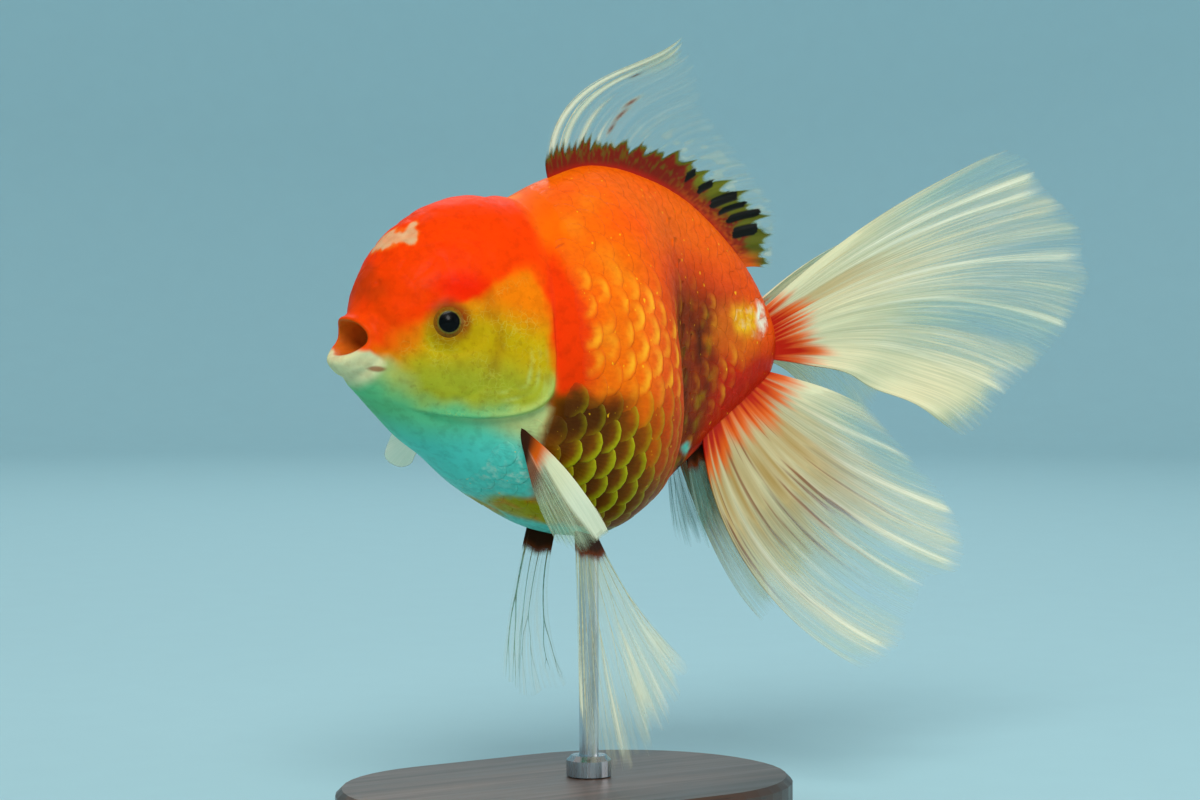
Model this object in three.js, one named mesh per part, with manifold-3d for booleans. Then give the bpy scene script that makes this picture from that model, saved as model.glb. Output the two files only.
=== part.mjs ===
// A fancy goldfish with a capped head, a high back and a double tail, life size on a plain stand.
// Millimetres, +Z up. The head points to -X and the fish's left side faces -Y.
// The origin is the middle of the underside of the stand's base.

import * as THREE from 'three';
import { mergeVertices } from 'three/addons/utils/BufferGeometryUtils.js';
import Module from 'manifold-3d';

const wasm = await Module();
wasm.setup();

// ---------------------------------------------------------------- driving sizes

const GAP = 0.3; // clearance between neighbouring pieces
const SNOUT_X = -62; // where the tip of the snout lies along the stand
const MOUTH_Z = 117; // height of the mouth line over the table
const BASE = { length: 116, width: 82, thick: 9, chamfer: 1.5, corner: 40 };
const ROD = { radius: 2.4, x: 8, y: 2, depth: 6 };
const COLLAR = { radius: 5.5, height: 5, chamfer: 1.2 };
const ROUND = 18; // facets round the rod
const BEND = { start: 74, end: 134, rate: 0.0016 }; // the tail swings to the fish's right
const FINE = { sides: 32, rings: 2 }; // facets round a section, and from one section to the next
const PLAIN = { sides: 16, rings: 1 };
const EYE = { x: 16.3, z: 3.6, radius: 4.8, sink: 3.2 };
const COVER = { depth: 2.2, inner: 8, middleX: 32, middleZ: -3 };
const FAR = 80; // well beyond the fish to either side

// Sections of the body from the inside of the mouth to the end of the tail stalk.
// x: distance from the snout; level: height of the widest line over the mouth line;
// up, down: reach above and below it; wide: half width; ridge, keel: how sharply the upper
// and lower halves draw in (1 is an ellipse, more is sharper); lean: tilt of the section in
// degrees; bow: how far its sides lie behind its middle.
const STATIONS = [
  { x: 9.0, level: -1, up: 1.6, down: 1.6, wide: 2.2, ridge: 1, keel: 1, lean: 4, bow: 0 },
  { x: 5.0, level: -0.6, up: 3.4, down: 2.6, wide: 4.2, ridge: 0.9, keel: 0.95, lean: 9, bow: 1 },
  { x: -0.6, level: -0.6, up: 4.4, down: 3.4, wide: 5.6, ridge: 0.8, keel: 0.88, lean: 14, bow: 3.2 },
  { x: -2.0, level: -0.7, up: 5.4, down: 4.7, wide: 6.7, ridge: 0.8, keel: 0.88, lean: 17, bow: 3.8 },
  { x: -0.3, level: -1.1, up: 7.2, down: 7.3, wide: 8, ridge: 0.88, keel: 0.95, lean: 16, bow: 4.2 },
  { x: 2.4, level: -0.5, up: 11.2, down: 10.8, wide: 10, ridge: 1, keel: 1, lean: 6, bow: 3.5 },
  { x: 5.4, level: 0.4, up: 15.2, down: 14.8, wide: 11.6, ridge: 1.05, keel: 1, lean: 2, bow: 2.5 },
  { x: 10, level: 0.6, up: 20.8, down: 19.6, wide: 14.8, ridge: 1.12, keel: 1, lean: 0, bow: 1.5 },
  { x: 16, level: -0.5, up: 27.0, down: 23.8, wide: 18.0, ridge: 1.1, keel: 1, lean: 0, bow: 0.5 },
  { x: 24, level: -3.5, up: 34.0, down: 26.4, wide: 22, ridge: 1.04, keel: 0.97, lean: 0, bow: 0 },
  { x: 33, level: -7, up: 39.8, down: 29.8, wide: 25.4, ridge: 1.02, keel: 0.95, lean: 0, bow: 0 },
  { x: 43, level: -11, up: 43.2, down: 31.4, wide: 28.8, ridge: 1.1, keel: 0.92, lean: 0, bow: 0 },
  { x: 54, level: -14, up: 50.8, down: 33.4, wide: 31.8, ridge: 1.2, keel: 0.92, lean: 0, bow: 0 },
  { x: 66, level: -16, up: 56.6, down: 32.8, wide: 33, ridge: 1.32, keel: 0.92, lean: 0, bow: 0 },
  { x: 76, level: -16, up: 56.4, down: 28.6, wide: 28.4, ridge: 1.36, keel: 0.95, lean: 0, bow: 0 },
  { x: 85, level: -15, up: 53.2, down: 24.8, wide: 18, ridge: 1.15, keel: 1, lean: 0, bow: 0 },
  { x: 93, level: -12, up: 47.4, down: 23, wide: 13, ridge: 1.12, keel: 1.05, lean: 0, bow: 0 },
  { x: 101, level: -8, up: 39.2, down: 21.8, wide: 10.6, ridge: 1.12, keel: 1.05, lean: 0, bow: 0 },
  { x: 110, level: -4, up: 28.4, down: 20, wide: 9.4, ridge: 1.1, keel: 1.05, lean: 0, bow: 0 },
  { x: 118, level: -2.5, up: 19, down: 16, wide: 7.8, ridge: 1.05, keel: 1, lean: 0, bow: 0 },
  { x: 124, level: -3, up: 10.4, down: 11.8, wide: 6, ridge: 1, keel: 1, lean: 0, bow: 0 },
  { x: 127.5, level: -3.5, up: 6, down: 7, wide: 3.2, ridge: 1, keel: 1, lean: 0, bow: 0 },
];
const LIP_STATION = 3; // the sections before this one line the mouth

// Side-view outlines, in distance from the snout and height over the mouth line.
const GILL_EDGE = [
  [45, 60], [44, 32], [41.5, 16], [40.4, 0], [39.4, -10],
  [35.6, -17.5], [27, -22], [17, -26], [9, -36], [4, -60],
];
const COVER_OUTLINE = [
  [28, 10], [35, 11.5], [39.6, 6], [39.6, -4], [38, -11.6], [32.6, -17.8], [25, -15], [23.6, -5],
];
const JAW_CUT = [[-14, -2.2], [4.6, -2.2], [6.6, -13], [6.6, -40], [-14, -40]];
const TAIL_CUT_X = 113;

// ---------------------------------------------------------------- small maths

const radians = THREE.MathUtils.degToRad;
const lerp = THREE.MathUtils.lerp;

/** A smooth curve through evenly spaced values; `at` runs from 0 to 1. */
function through(values, at) {
  const last = values.length - 1;
  const spot = THREE.MathUtils.clamp(at, 0, 1) * last;
  const index = Math.min(Math.floor(spot), last - 1);
  const t = spot - index;
  const before = values[Math.max(index - 1, 0)];
  const from = values[index];
  const to = values[index + 1];
  const after = values[Math.min(index + 2, last)];
  const startSlope = (to - before) / 2;
  const endSlope = (after - from) / 2;
  const a = 2 * from - 2 * to + startSlope + endSlope;
  const b = -3 * from + 3 * to - 2 * startSlope - endSlope;
  return ((a * t + b) * t + startSlope) * t + from;
}

/** Swings a point of the straight fish to the side along the tail's bend, and onto the stand. */
function place(x, y, z) {
  const along = Math.min(Math.max(x - BEND.start, 0), BEND.end - BEND.start);
  const slope = 2 * BEND.rate * along;
  const beyond = Math.max(x - BEND.end, 0);
  const turn = Math.atan(slope);
  const middleX = x - beyond + beyond * Math.cos(turn);
  const middleY = BEND.rate * along * along + beyond * Math.sin(turn);
  return new THREE.Vector3(
    SNOUT_X + middleX - y * Math.sin(turn),
    middleY + y * Math.cos(turn),
    MOUTH_Z + z,
  );
}

// ---------------------------------------------------------------- body surface

const FIELDS = Object.keys(STATIONS[0]);
const COLUMNS = Object.fromEntries(FIELDS.map((field) => [field, STATIONS.map((row) => row[field])]));

/** The section at a share of the way down the table of stations. */
function section(at) {
  return Object.fromEntries(FIELDS.map((field) => [field, through(COLUMNS[field], at)]));
}

/** The section at a distance from the snout, behind the lips. */
function sectionAtX(x) {
  let low = LIP_STATION / (STATIONS.length - 1);
  let high = 1;
  for (let halving = 0; halving < 40; halving += 1) {
    const middle = (low + high) / 2;
    if (section(middle).x < x) low = middle;
    else high = middle;
  }
  return section(low);
}

/** A point on a section's rim: angle 0 is the back, 90 the fish's right, 180 the belly. */
function rimPoint(shape, angle, grow) {
  const upper = Math.cos(angle) >= 0;
  const reach = (upper ? shape.up : shape.down) + grow;
  const power = upper ? shape.ridge : shape.keel;
  const rise = reach * Math.cos(angle);
  const side = Math.sign(Math.sin(angle)) * Math.abs(Math.sin(angle)) ** power;
  const lean = radians(shape.lean);
  return [
    shape.x + rise * Math.sin(lean) + shape.bow * Math.sin(angle) ** 2,
    (shape.wide + grow) * side,
    shape.level + rise * Math.cos(lean),
  ];
}

/** The closed body, or the same body grown or shrunk by a few tenths. */
function bodySolid(grow, detail) {
  const { sides, rings } = detail;
  const ringCount = (STATIONS.length - 1) * rings;
  const points = [];
  const faces = [];
  for (let ring = 0; ring <= ringCount; ring += 1) {
    const shape = section(ring / ringCount);
    const inMouth = ring < LIP_STATION * rings;
    for (let side = 0; side < sides; side += 1) {
      const angle = (2 * Math.PI * side) / sides;
      points.push(rimPoint(shape, angle, inMouth ? -grow : grow));
    }
  }
  for (let ring = 0; ring < ringCount; ring += 1) {
    for (let side = 0; side < sides; side += 1) {
      const next = (side + 1) % sides;
      const a = ring * sides + side;
      const b = ring * sides + next;
      faces.push(a, b, b + sides, a, b + sides, a + sides);
    }
  }
  const mouthEnd = points.length;
  const first = section(0);
  const last = section(1);
  points.push([first.x, 0, first.level], [last.x, 0, last.level]);
  for (let side = 0; side < sides; side += 1) {
    const next = (side + 1) % sides;
    const end = ringCount * sides;
    faces.push(mouthEnd, next, side, mouthEnd + 1, end + side, end + next);
  }
  return solidFrom(points, faces);
}

/** A solid from body-frame points and triangles. */
function solidFrom(points, faces) {
  const vertProperties = new Float32Array(points.flatMap((point) => place(...point).toArray()));
  const solid = (triVerts) => new wasm.Manifold(new wasm.Mesh({ numProp: 3, vertProperties, triVerts }));
  const outward = solid(new Uint32Array(faces));
  return outward.volume() > 0 ? outward : solid(new Uint32Array(faces).reverse());
}

// ---------------------------------------------------------------- solids and geometries

function solidOf(geometry) {
  const bare = geometry.clone();
  bare.deleteAttribute('normal');
  bare.deleteAttribute('uv');
  const merged = mergeVertices(bare, 1e-4);
  return new wasm.Manifold(new wasm.Mesh({
    numProp: 3,
    vertProperties: new Float32Array(merged.attributes.position.array),
    triVerts: new Uint32Array(merged.index.array),
  }));
}

function geometryOf(solid) {
  const mesh = solid.getMesh();
  const geometry = new THREE.BufferGeometry();
  geometry.setAttribute('position', new THREE.BufferAttribute(new Float32Array(mesh.vertProperties), 3));
  geometry.setIndex(new THREE.BufferAttribute(new Uint32Array(mesh.triVerts), 1));
  geometry.computeVertexNormals();
  return geometry;
}

/** The largest body of a solid, without the crumbs that a cut leaves. */
function largest(solid) {
  return solid.decompose().sort((a, b) => b.volume() - a.volume())[0];
}

/** A prism across the fish from an outline in side view, between two distances to the side. */
function prism(outline, fromY, toY, spread = 0, middle = [0, 0]) {
  const shape = new THREE.Shape(outline.map(([x, z]) => {
    const out = new THREE.Vector2(x - middle[0], z - middle[1]);
    out.setLength(out.length() + spread);
    return new THREE.Vector2(SNOUT_X + middle[0] + out.x, MOUTH_Z + middle[1] + out.y);
  }));
  const geometry = new THREE.ExtrudeGeometry(shape, { depth: toY - fromY, bevelEnabled: false });
  geometry.rotateX(Math.PI / 2);
  geometry.translate(0, toY, 0);
  return solidOf(geometry);
}

/** An outline rounded by a closed smooth curve through its corners. */
function rounded(outline, count) {
  const corners = outline.map(([x, z]) => new THREE.Vector3(x, z, 0));
  const curve = new THREE.CatmullRomCurve3(corners, true, 'centripetal');
  return curve.getPoints(count).slice(0, count).map((point) => [point.x, point.y]);
}

/** An open line rounded in the same way and closed well in front of the fish. */
function inFrontOf(line, shift) {
  const corners = line.map(([x, z]) => new THREE.Vector3(x + shift, z, 0));
  const curve = new THREE.CatmullRomCurve3(corners, false, 'centripetal');
  const points = curve.getPoints(24).map((point) => [point.x, point.y]);
  return [...points, [-FAR, line.at(-1)[1]], [-FAR, line[0][1]]];
}

/** An eyeball sunk in the side of the head, or the socket grown round it. */
function eyeGeometry(side, grow) {
  const shape = sectionAtX(EYE.x);
  const share = (EYE.z - shape.level) / shape.up;
  const half = shape.wide * Math.sqrt(1 - share * share) ** shape.ridge;
  const middle = place(EYE.x, side * (half - EYE.sink), EYE.z);
  const geometry = new THREE.SphereGeometry(EYE.radius + grow, 14, 8);
  return geometry.translate(middle.x, middle.y, middle.z);
}

// ---------------------------------------------------------------- fins

// Every fin is a fan of rays. Each list below runs along the fin's base, from its first ray to
// its last. root: base points (distance from snout, to the side, height over the mouth line);
// rise, fall: the ray's angle over the level at its start and tip; splay, flare: its angle out
// from straight back at its start and tip; length: the ray's length. Angles are degrees.
// flick lifts a ray again towards its tip; ease over 1 bends it early; thick is at the base and the tips; ripple waves the sheet.
const DORSAL = {
  root: [[57, 0, 36], [68, 0, 38.6], [81, 0, 37.5], [94, 0, 33], [107, 0, 25], [117, 0, 15.5]],
  rise: [112, 100, 86, 47, 27, 12],
  fall: [0, 8, 14, 8, 5, -8],
  flick: [46, 34, 2, 0, 0, 0],
  splay: [5, 5, 4, 3, 2, 0],
  flare: [13, 12, 7, 5, 2, 0],
  length: [58, 44, 30, 26, 23, 14],
  ease: 2,
  rays: 12,
  steps: 8,
  thick: [1.4, 0.55],
  ripple: 0.6,
  waves: 2.5,
};
const ANAL = {
  root: [[96, 3.6, -30.6], [99.4, 3.4, -28.6], [103, 3, -26.4]],
  rise: [-84, -72, -60],
  fall: [-70, -56, -44],
  splay: [16, 14, 10],
  flare: [10, 8, 6],
  length: [25, 26, 22],
  ease: 1,
  rays: 5,
  steps: 5,
  thick: [1.2, 0.5],
  ripple: 0.6,
  waves: 1.2,
};
const PECTORAL = {
  root: [[33.4, 21.8, -20.6], [34.2, 21.6, -23.4], [34.8, 21.3, -26]],
  ease: 1,
  rays: 6,
  steps: 5,
  thick: [1.6, 0.55],
  ripple: 0.7,
  waves: 1.5,
};
const PELVIC = {
  root: [[57.5, 9.6, -45.5], [61, 9, -47], [64.5, 7.6, -47]],
  ease: 1,
  rays: 6,
  steps: 7,
  thick: [1.5, 0.5],
  ripple: 1.3,
  waves: 1.6,
};
const TAIL = { ease: 1, rays: 9, steps: 8, thick: [1.5, 0.5], ripple: 2.1, waves: 2 };
const TAIL_UPPER = {
  ...TAIL,
  root: [[123, 2.2, 5], [125, 3, 1], [125.6, 3.4, -3], [125, 3.6, -7.4]],
};
const TAIL_LOWER = {
  ...TAIL,
  root: [[123.4, 3.6, -10.4], [117, 4.6, -15.4], [108, 5.4, -20.4], [99, 6, -25.4]],
};
const PAIRED_FINS = {
  pectoral_fin_left: {
    ...PECTORAL,
    rise: [-38, -64, -79],
    fall: [-64, -60, -60],
    splay: [38, 38, 34],
    flare: [24, 18, 8],
    length: [32, 30, 23],
  },
  pectoral_fin_right: {
    ...PECTORAL,
    rise: [-12, -14, -18],
    fall: [-9, -16, -30],
    splay: [74, 73, 70],
    flare: [79, 74, 68],
    length: [26, 32, 24],
  },
  pelvic_fin_left: {
    ...PELVIC,
    rise: [-89, -82, -62],
    fall: [-90, -77, -40],
    splay: [22, 16, 10],
    flare: [14, 8, 0],
    length: [52, 59, 44],
  },
  pelvic_fin_right: {
    ...PELVIC,
    rise: [-108, -114, -114],
    fall: [-99, -84, -56],
    splay: [13, 11, 8],
    flare: [10, 8, 5],
    length: [38, 42, 40],
  },
  anal_fin_left: ANAL,
  anal_fin_right: ANAL,
  tail_fin_upper_left: {
    ...TAIL_UPPER,
    rise: [39, 28, 23, -6],
    fall: [19, 7, -21, -38],
    splay: [15, 22, 29, 28],
    flare: [21, 25, 20, 26],
    length: [90, 97, 88, 56],
  },
  tail_fin_upper_right: {
    ...TAIL_UPPER,
    rise: [25, 16, 7, 0],
    fall: [6, -5, -24, -48],
    splay: [10, 12, 14, 16],
    flare: [12, 14, 16, 14],
    length: [78, 92, 86, 64],
  },
  tail_fin_lower_left: {
    ...TAIL_LOWER,
    rise: [-14, -41, -65, -86],
    fall: [-24, -17, -20, -28],
    splay: [29, 32, 42, 46],
    flare: [11, 20, 28, 29],
    length: [31, 64, 75, 73],
  },
  tail_fin_lower_right: {
    ...TAIL_LOWER,
    rise: [-14, -34, -50, -62],
    fall: [-30, -22, -27, -34],
    splay: [12, 11, 12, 14],
    flare: [2, 4, 6, 8],
    length: [40, 60, 68, 70],
  },
};

/** The middle of a fin's sheet: `across` counts along its base, `out` along its rays. */
function finPoint(fin, side, across, out) {
  const start = [0, 1, 2].map((axis) => through(fin.root.map((corner) => corner[axis]), across));
  const rise = through(fin.rise, across);
  const fall = through(fin.fall, across);
  const splay = through(fin.splay, across);
  const flare = through(fin.flare, across);
  const length = through(fin.length, across);
  const flick = through(fin.flick ?? [0, 0], across);
  const pieces = 12;
  let [x, y, z] = start;
  for (let piece = 0; piece < pieces; piece += 1) {
    const t = (out * (piece + 0.5)) / pieces;
    const bent = 1 - (1 - t) ** fin.ease;
    const height = radians(lerp(rise, fall, bent) + flick * t ** 4);
    const heading = radians(lerp(splay, flare, bent));
    const step = (length * out) / pieces;
    x += step * Math.cos(height) * Math.cos(heading);
    y += step * Math.cos(height) * Math.sin(heading);
    z += step * Math.sin(height);
  }
  const wave = fin.ripple * out * Math.sin(2 * Math.PI * fin.waves * across + 2.2 * out);
  return [x, side * (y + wave), z];
}

/** A fin as a thin closed sheet that thins from its base to its tips. */
function finSolid(fin, side) {
  const rows = fin.steps + 1;
  const grid = [];
  for (let ray = 0; ray <= fin.rays; ray += 1) {
    for (let step = 0; step < rows; step += 1) {
      grid.push(new THREE.Vector3(...finPoint(fin, side, ray / fin.rays, step / fin.steps)));
    }
  }
  const at = (ray, step) => grid[ray * rows + step];
  const points = [];
  for (const face of [1, -1]) {
    for (let ray = 0; ray <= fin.rays; ray += 1) {
      for (let step = 0; step < rows; step += 1) {
        const acrossWay = at(Math.min(ray + 1, fin.rays), step).clone()
          .sub(at(Math.max(ray - 1, 0), step));
        const outWay = at(ray, Math.min(step + 1, fin.steps)).clone()
          .sub(at(ray, Math.max(step - 1, 0)));
        const normal = acrossWay.cross(outWay).normalize();
        const half = lerp(fin.thick[0], fin.thick[1], Math.sqrt(step / fin.steps)) / 2;
        points.push(at(ray, step).clone().addScaledVector(normal, face * half).toArray());
      }
    }
  }
  const under = grid.length;
  const faces = [];
  const quad = (a, b, c, d) => faces.push(a, b, c, a, c, d);
  for (let ray = 0; ray < fin.rays; ray += 1) {
    for (let step = 0; step < fin.steps; step += 1) {
      const a = ray * rows + step;
      quad(a, a + rows, a + rows + 1, a + 1);
      quad(under + a, under + a + 1, under + a + rows + 1, under + a + rows);
    }
    const base = ray * rows;
    const tip = base + fin.steps;
    quad(base, under + base, under + base + rows, base + rows);
    quad(tip, tip + rows, under + tip + rows, under + tip);
  }
  for (let step = 0; step < fin.steps; step += 1) {
    const last = fin.rays * rows + step;
    quad(step, step + 1, under + step + 1, under + step);
    quad(last, under + last, under + last + 1, last + 1);
  }
  return solidFrom(points, faces);
}

// ---------------------------------------------------------------- stand

/** A flat oblong base with rounded ends and a small chamfer round its top edge. */
function baseGeometry() {
  const { length, width, thick, chamfer, corner } = BASE;
  const outline = (inset) => {
    const halfLength = length / 2 - inset;
    const halfWidth = width / 2 - inset;
    const radius = corner - inset;
    const shape = new THREE.Shape();
    shape.moveTo(-halfLength + radius, -halfWidth);
    shape.lineTo(halfLength - radius, -halfWidth);
    shape.absarc(halfLength - radius, -halfWidth + radius, radius, -Math.PI / 2, 0);
    shape.absarc(halfLength - radius, halfWidth - radius, radius, 0, Math.PI / 2);
    shape.lineTo(-halfLength + radius, halfWidth);
    shape.absarc(-halfLength + radius, halfWidth - radius, radius, Math.PI / 2, Math.PI);
    shape.absarc(-halfLength + radius, -halfWidth + radius, radius, Math.PI, 1.5 * Math.PI);
    return shape;
  };
  return new THREE.ExtrudeGeometry(outline(chamfer), {
    depth: thick - 2 * chamfer,
    bevelEnabled: true,
    bevelThickness: chamfer,
    bevelSize: chamfer,
    bevelSegments: 1,
    curveSegments: 6,
  });
}

/** The rod with a low collar at its foot, turned round its own axis. */
function rodGeometry(height) {
  const profile = [
    [0, 0],
    [COLLAR.radius, 0],
    [COLLAR.radius, COLLAR.height - COLLAR.chamfer],
    [COLLAR.radius - COLLAR.chamfer, COLLAR.height],
    [ROD.radius, COLLAR.height],
    [ROD.radius, height],
    [0, height],
  ];
  const geometry = new THREE.LatheGeometry(profile.map(([r, z]) => new THREE.Vector2(r, z)), ROUND);
  return geometry.rotateX(Math.PI / 2);
}

// ---------------------------------------------------------------- materials

const material = (color, roughness, metalness = 0) =>
  new THREE.MeshStandardMaterial({ color, roughness, metalness });

const PAINT = {
  head: material(0xe8501c, 0.45),
  cheek: material(0xc9a02c, 0.4),
  jaw: material(0xf2e6d0, 0.45),
  trunk: material(0xee6a14, 0.35),
  stalk: material(0xd8501a, 0.35),
  eye: material(0x14120c, 0.08),
  dorsal: material(0x8a3a14, 0.5),
  fin: material(0xefe6cf, 0.5),
  base: material(0x3a2a20, 0.5),
  rod: material(0xb8bcc0, 0.3, 1),
};

// ---------------------------------------------------------------- assembly

const LEFT = -1;
const RIGHT = 1;
const goldfish = new THREE.Group();
goldfish.name = 'fancy_goldfish';

function add(name, geometry, paint) {
  const mesh = new THREE.Mesh(geometry, paint);
  mesh.name = name;
  goldfish.add(mesh);
}

// The body is parted along the gill edge and in front of the tail.
const behindTailCut = (shift) => [
  [TAIL_CUT_X + shift, -FAR],
  [TAIL_CUT_X + shift, FAR],
  [TAIL_CUT_X + FAR, FAR],
  [TAIL_CUT_X + FAR, -FAR],
];
const body = bodySolid(0, FINE);
let head = body.intersect(prism(inFrontOf(GILL_EDGE, -GAP / 2), -FAR, FAR));
let trunk = body.subtract(prism(inFrontOf(GILL_EDGE, GAP / 2), -FAR, FAR));
const stalk = trunk.intersect(prism(behindTailCut(GAP / 2), -FAR, FAR));
trunk = trunk.subtract(prism(behindTailCut(-GAP / 2), -FAR, FAR));

// The gill covers are plates let into the sides of the head.
const coverCore = bodySolid(-COVER.depth, PLAIN);
const seatCore = bodySolid(-COVER.depth - GAP, PLAIN);
const coverMiddle = [COVER.middleX, COVER.middleZ];
const coverOutline = rounded(COVER_OUTLINE, 20);
for (const [name, side] of [['gill_cover_left', LEFT], ['gill_cover_right', RIGHT]]) {
  const reach = [side * COVER.inner, side * FAR].sort((a, b) => a - b);
  const plate = head.intersect(prism(coverOutline, ...reach)).subtract(coverCore);
  const seat = prism(coverOutline, ...reach, GAP, coverMiddle).subtract(seatCore);
  head = head.subtract(seat);
  add(name, geometryOf(largest(plate)), PAINT.cheek);
}

for (const [name, side] of [['eye_left', LEFT], ['eye_right', RIGHT]]) {
  head = head.subtract(solidOf(eyeGeometry(side, GAP)));
  add(name, eyeGeometry(side, 0), PAINT.eye);
}

// The lower jaw carries the thick lower lip.
const jaw = head.intersect(prism(JAW_CUT, -FAR, FAR));
const jawRoom = JAW_CUT.map(([x, z]) => [x + GAP, z + GAP]);
head = head.subtract(prism(jawRoom, -FAR, FAR));
add('lower_jaw', geometryOf(largest(jaw)), PAINT.jaw);
add('head', geometryOf(largest(head)), PAINT.head);

// The rod's top is let into the belly.
const rodFoot = BASE.thick + GAP;
const belly = sectionAtX(ROD.x - SNOUT_X);
const rodHeight = MOUTH_Z + belly.level - belly.down + ROD.depth - rodFoot;
const rod = rodGeometry(rodHeight);
rod.translate(ROD.x, ROD.y, rodFoot);
const roomHeight = rodHeight + GAP;
const rodRoom = new THREE.CylinderGeometry(ROD.radius + GAP, ROD.radius + GAP, roomHeight, ROUND);
rodRoom.rotateX(Math.PI / 2);
rodRoom.translate(ROD.x, ROD.y, rodFoot + roomHeight / 2);
trunk = trunk.subtract(solidOf(rodRoom));
add('trunk', geometryOf(largest(trunk)), PAINT.trunk);
add('tail_stalk', geometryOf(largest(stalk)), PAINT.stalk);

// Each fin starts inside the body and is cut back to a small clearance over its surface.
const grownBody = bodySolid(GAP, FINE);
function addFin(name, fin, side, paint) {
  add(name, geometryOf(largest(finSolid(fin, side).subtract(grownBody))), paint);
}

addFin('dorsal_fin', DORSAL, LEFT, PAINT.dorsal);
for (const [name, fin] of Object.entries(PAIRED_FINS)) {
  addFin(name, fin, name.endsWith('left') ? LEFT : RIGHT, PAINT.fin);
}

const base = baseGeometry();
base.translate(0, 0, BASE.chamfer);
add('stand_base', base, PAINT.base);
add('stand_rod', rod, PAINT.rod);

export default goldfish;
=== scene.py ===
import math

import bpy
import numpy as np
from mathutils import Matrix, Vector


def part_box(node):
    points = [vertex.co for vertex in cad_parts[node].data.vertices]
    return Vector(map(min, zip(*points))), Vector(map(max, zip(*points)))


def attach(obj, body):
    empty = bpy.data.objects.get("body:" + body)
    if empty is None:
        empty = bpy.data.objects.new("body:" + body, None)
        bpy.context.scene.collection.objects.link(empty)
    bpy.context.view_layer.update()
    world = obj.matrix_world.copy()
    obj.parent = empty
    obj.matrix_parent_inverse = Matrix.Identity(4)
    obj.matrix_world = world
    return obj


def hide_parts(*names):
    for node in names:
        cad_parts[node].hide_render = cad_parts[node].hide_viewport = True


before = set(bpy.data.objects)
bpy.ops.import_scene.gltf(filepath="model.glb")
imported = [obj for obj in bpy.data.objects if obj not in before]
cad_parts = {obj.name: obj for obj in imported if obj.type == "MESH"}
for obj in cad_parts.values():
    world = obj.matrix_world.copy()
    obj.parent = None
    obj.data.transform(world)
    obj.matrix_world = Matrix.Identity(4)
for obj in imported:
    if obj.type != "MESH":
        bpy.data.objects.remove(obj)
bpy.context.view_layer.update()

bl_info = {
    "name": "Fancy Goldfish Model",
    "version": (1, 0, 0),
    "blender": (4, 5, 0),
    "location": "3D View > Sidebar > Goldfish",
    "description": "Skin, scales, eyes, fins and stand finish of a life-size fancy goldfish",
    "category": "Add Mesh",
}

MM = 0.001
BODY = "root"
LEFT = -1
RIGHT = 1
TINT = "Tint"  # colour attribute of every painted piece; its alpha is the piece's density
MARKS = "Marks"  # per scale: green rim, painted glint, mother-of-pearl with painted glints
BLADE = "Blade"  # place on one scale: along it, across it, and how far in from its edge
ZONES = "Zones"  # per skin point: cap, cheek, breast
RAY_MAP = "Rays"  # fin map: rays counted across, centimetres outwards
BAKE_MAP = "OFBake"

# ---------------------------------------------------------------- body sizes, in millimetres
# The body frame runs x back from the snout, y to the fish's right, z up from the mouth line.

SNOUT_X = -62
MOUTH_Z = 117
BEND_START = 74
BEND_LENGTH = 60
BEND_RATE = 0.0016
STATION_FIELDS = ("x", "level", "up", "down", "wide", "ridge", "keel", "lean", "bow")
STATIONS = np.array([
    (9, -1, 1.6, 1.6, 2.2, 1, 1, 4, 0),
    (5, -0.6, 3.4, 2.6, 4.2, 0.9, 0.95, 9, 1),
    (-0.6, -0.6, 4.4, 3.4, 5.6, 0.8, 0.88, 14, 3.2),
    (-2, -0.7, 5.4, 4.7, 6.7, 0.8, 0.88, 17, 3.8),
    (-0.3, -1.1, 7.2, 7.3, 8, 0.88, 0.95, 16, 4.2),
    (2.4, -0.5, 11.2, 10.8, 10, 1, 1, 6, 3.5),
    (5.4, 0.4, 15.2, 14.8, 11.6, 1.05, 1, 2, 2.5),
    (10, 0.6, 20.8, 19.6, 14.8, 1.12, 1, 0, 1.5),
    (16, -0.5, 27.0, 23.8, 18.0, 1.1, 1, 0, 0.5),
    (24, -3.5, 34.0, 26.4, 22, 1.04, 0.97, 0, 0),
    (33, -7, 39.8, 29.8, 25.4, 1.02, 0.95, 0, 0),
    (43, -11, 43.2, 31.4, 28.8, 1.1, 0.92, 0, 0),
    (54, -14, 50.8, 33.4, 31.8, 1.2, 0.92, 0, 0),
    (66, -16, 56.6, 32.8, 33, 1.32, 0.92, 0, 0),
    (76, -16, 56.4, 28.6, 28.4, 1.36, 0.95, 0, 0),
    (85, -15, 53.2, 24.8, 18, 1.15, 1, 0, 0),
    (93, -12, 47.4, 23, 13, 1.12, 1.05, 0, 0),
    (101, -8, 39.2, 21.8, 10.6, 1.12, 1.05, 0, 0),
    (110, -4, 28.4, 20, 9.4, 1.1, 1.05, 0, 0),
    (118, -2.5, 19, 16, 7.8, 1.05, 1, 0, 0),
    (124, -3, 10.4, 11.8, 6, 1, 1, 0, 0),
    (127.5, -3.5, 6, 7, 3.2, 1, 1, 0, 0),
])
LAST_STATION = len(STATIONS) - 1
LIP_CREST = 3  # station at the front of the lips; earlier ones line the mouth
EYE_X, EYE_Z = 16.3, 3.6
EYE_RADIUS = 4.8
EYE_SINK = 3.2

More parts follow.
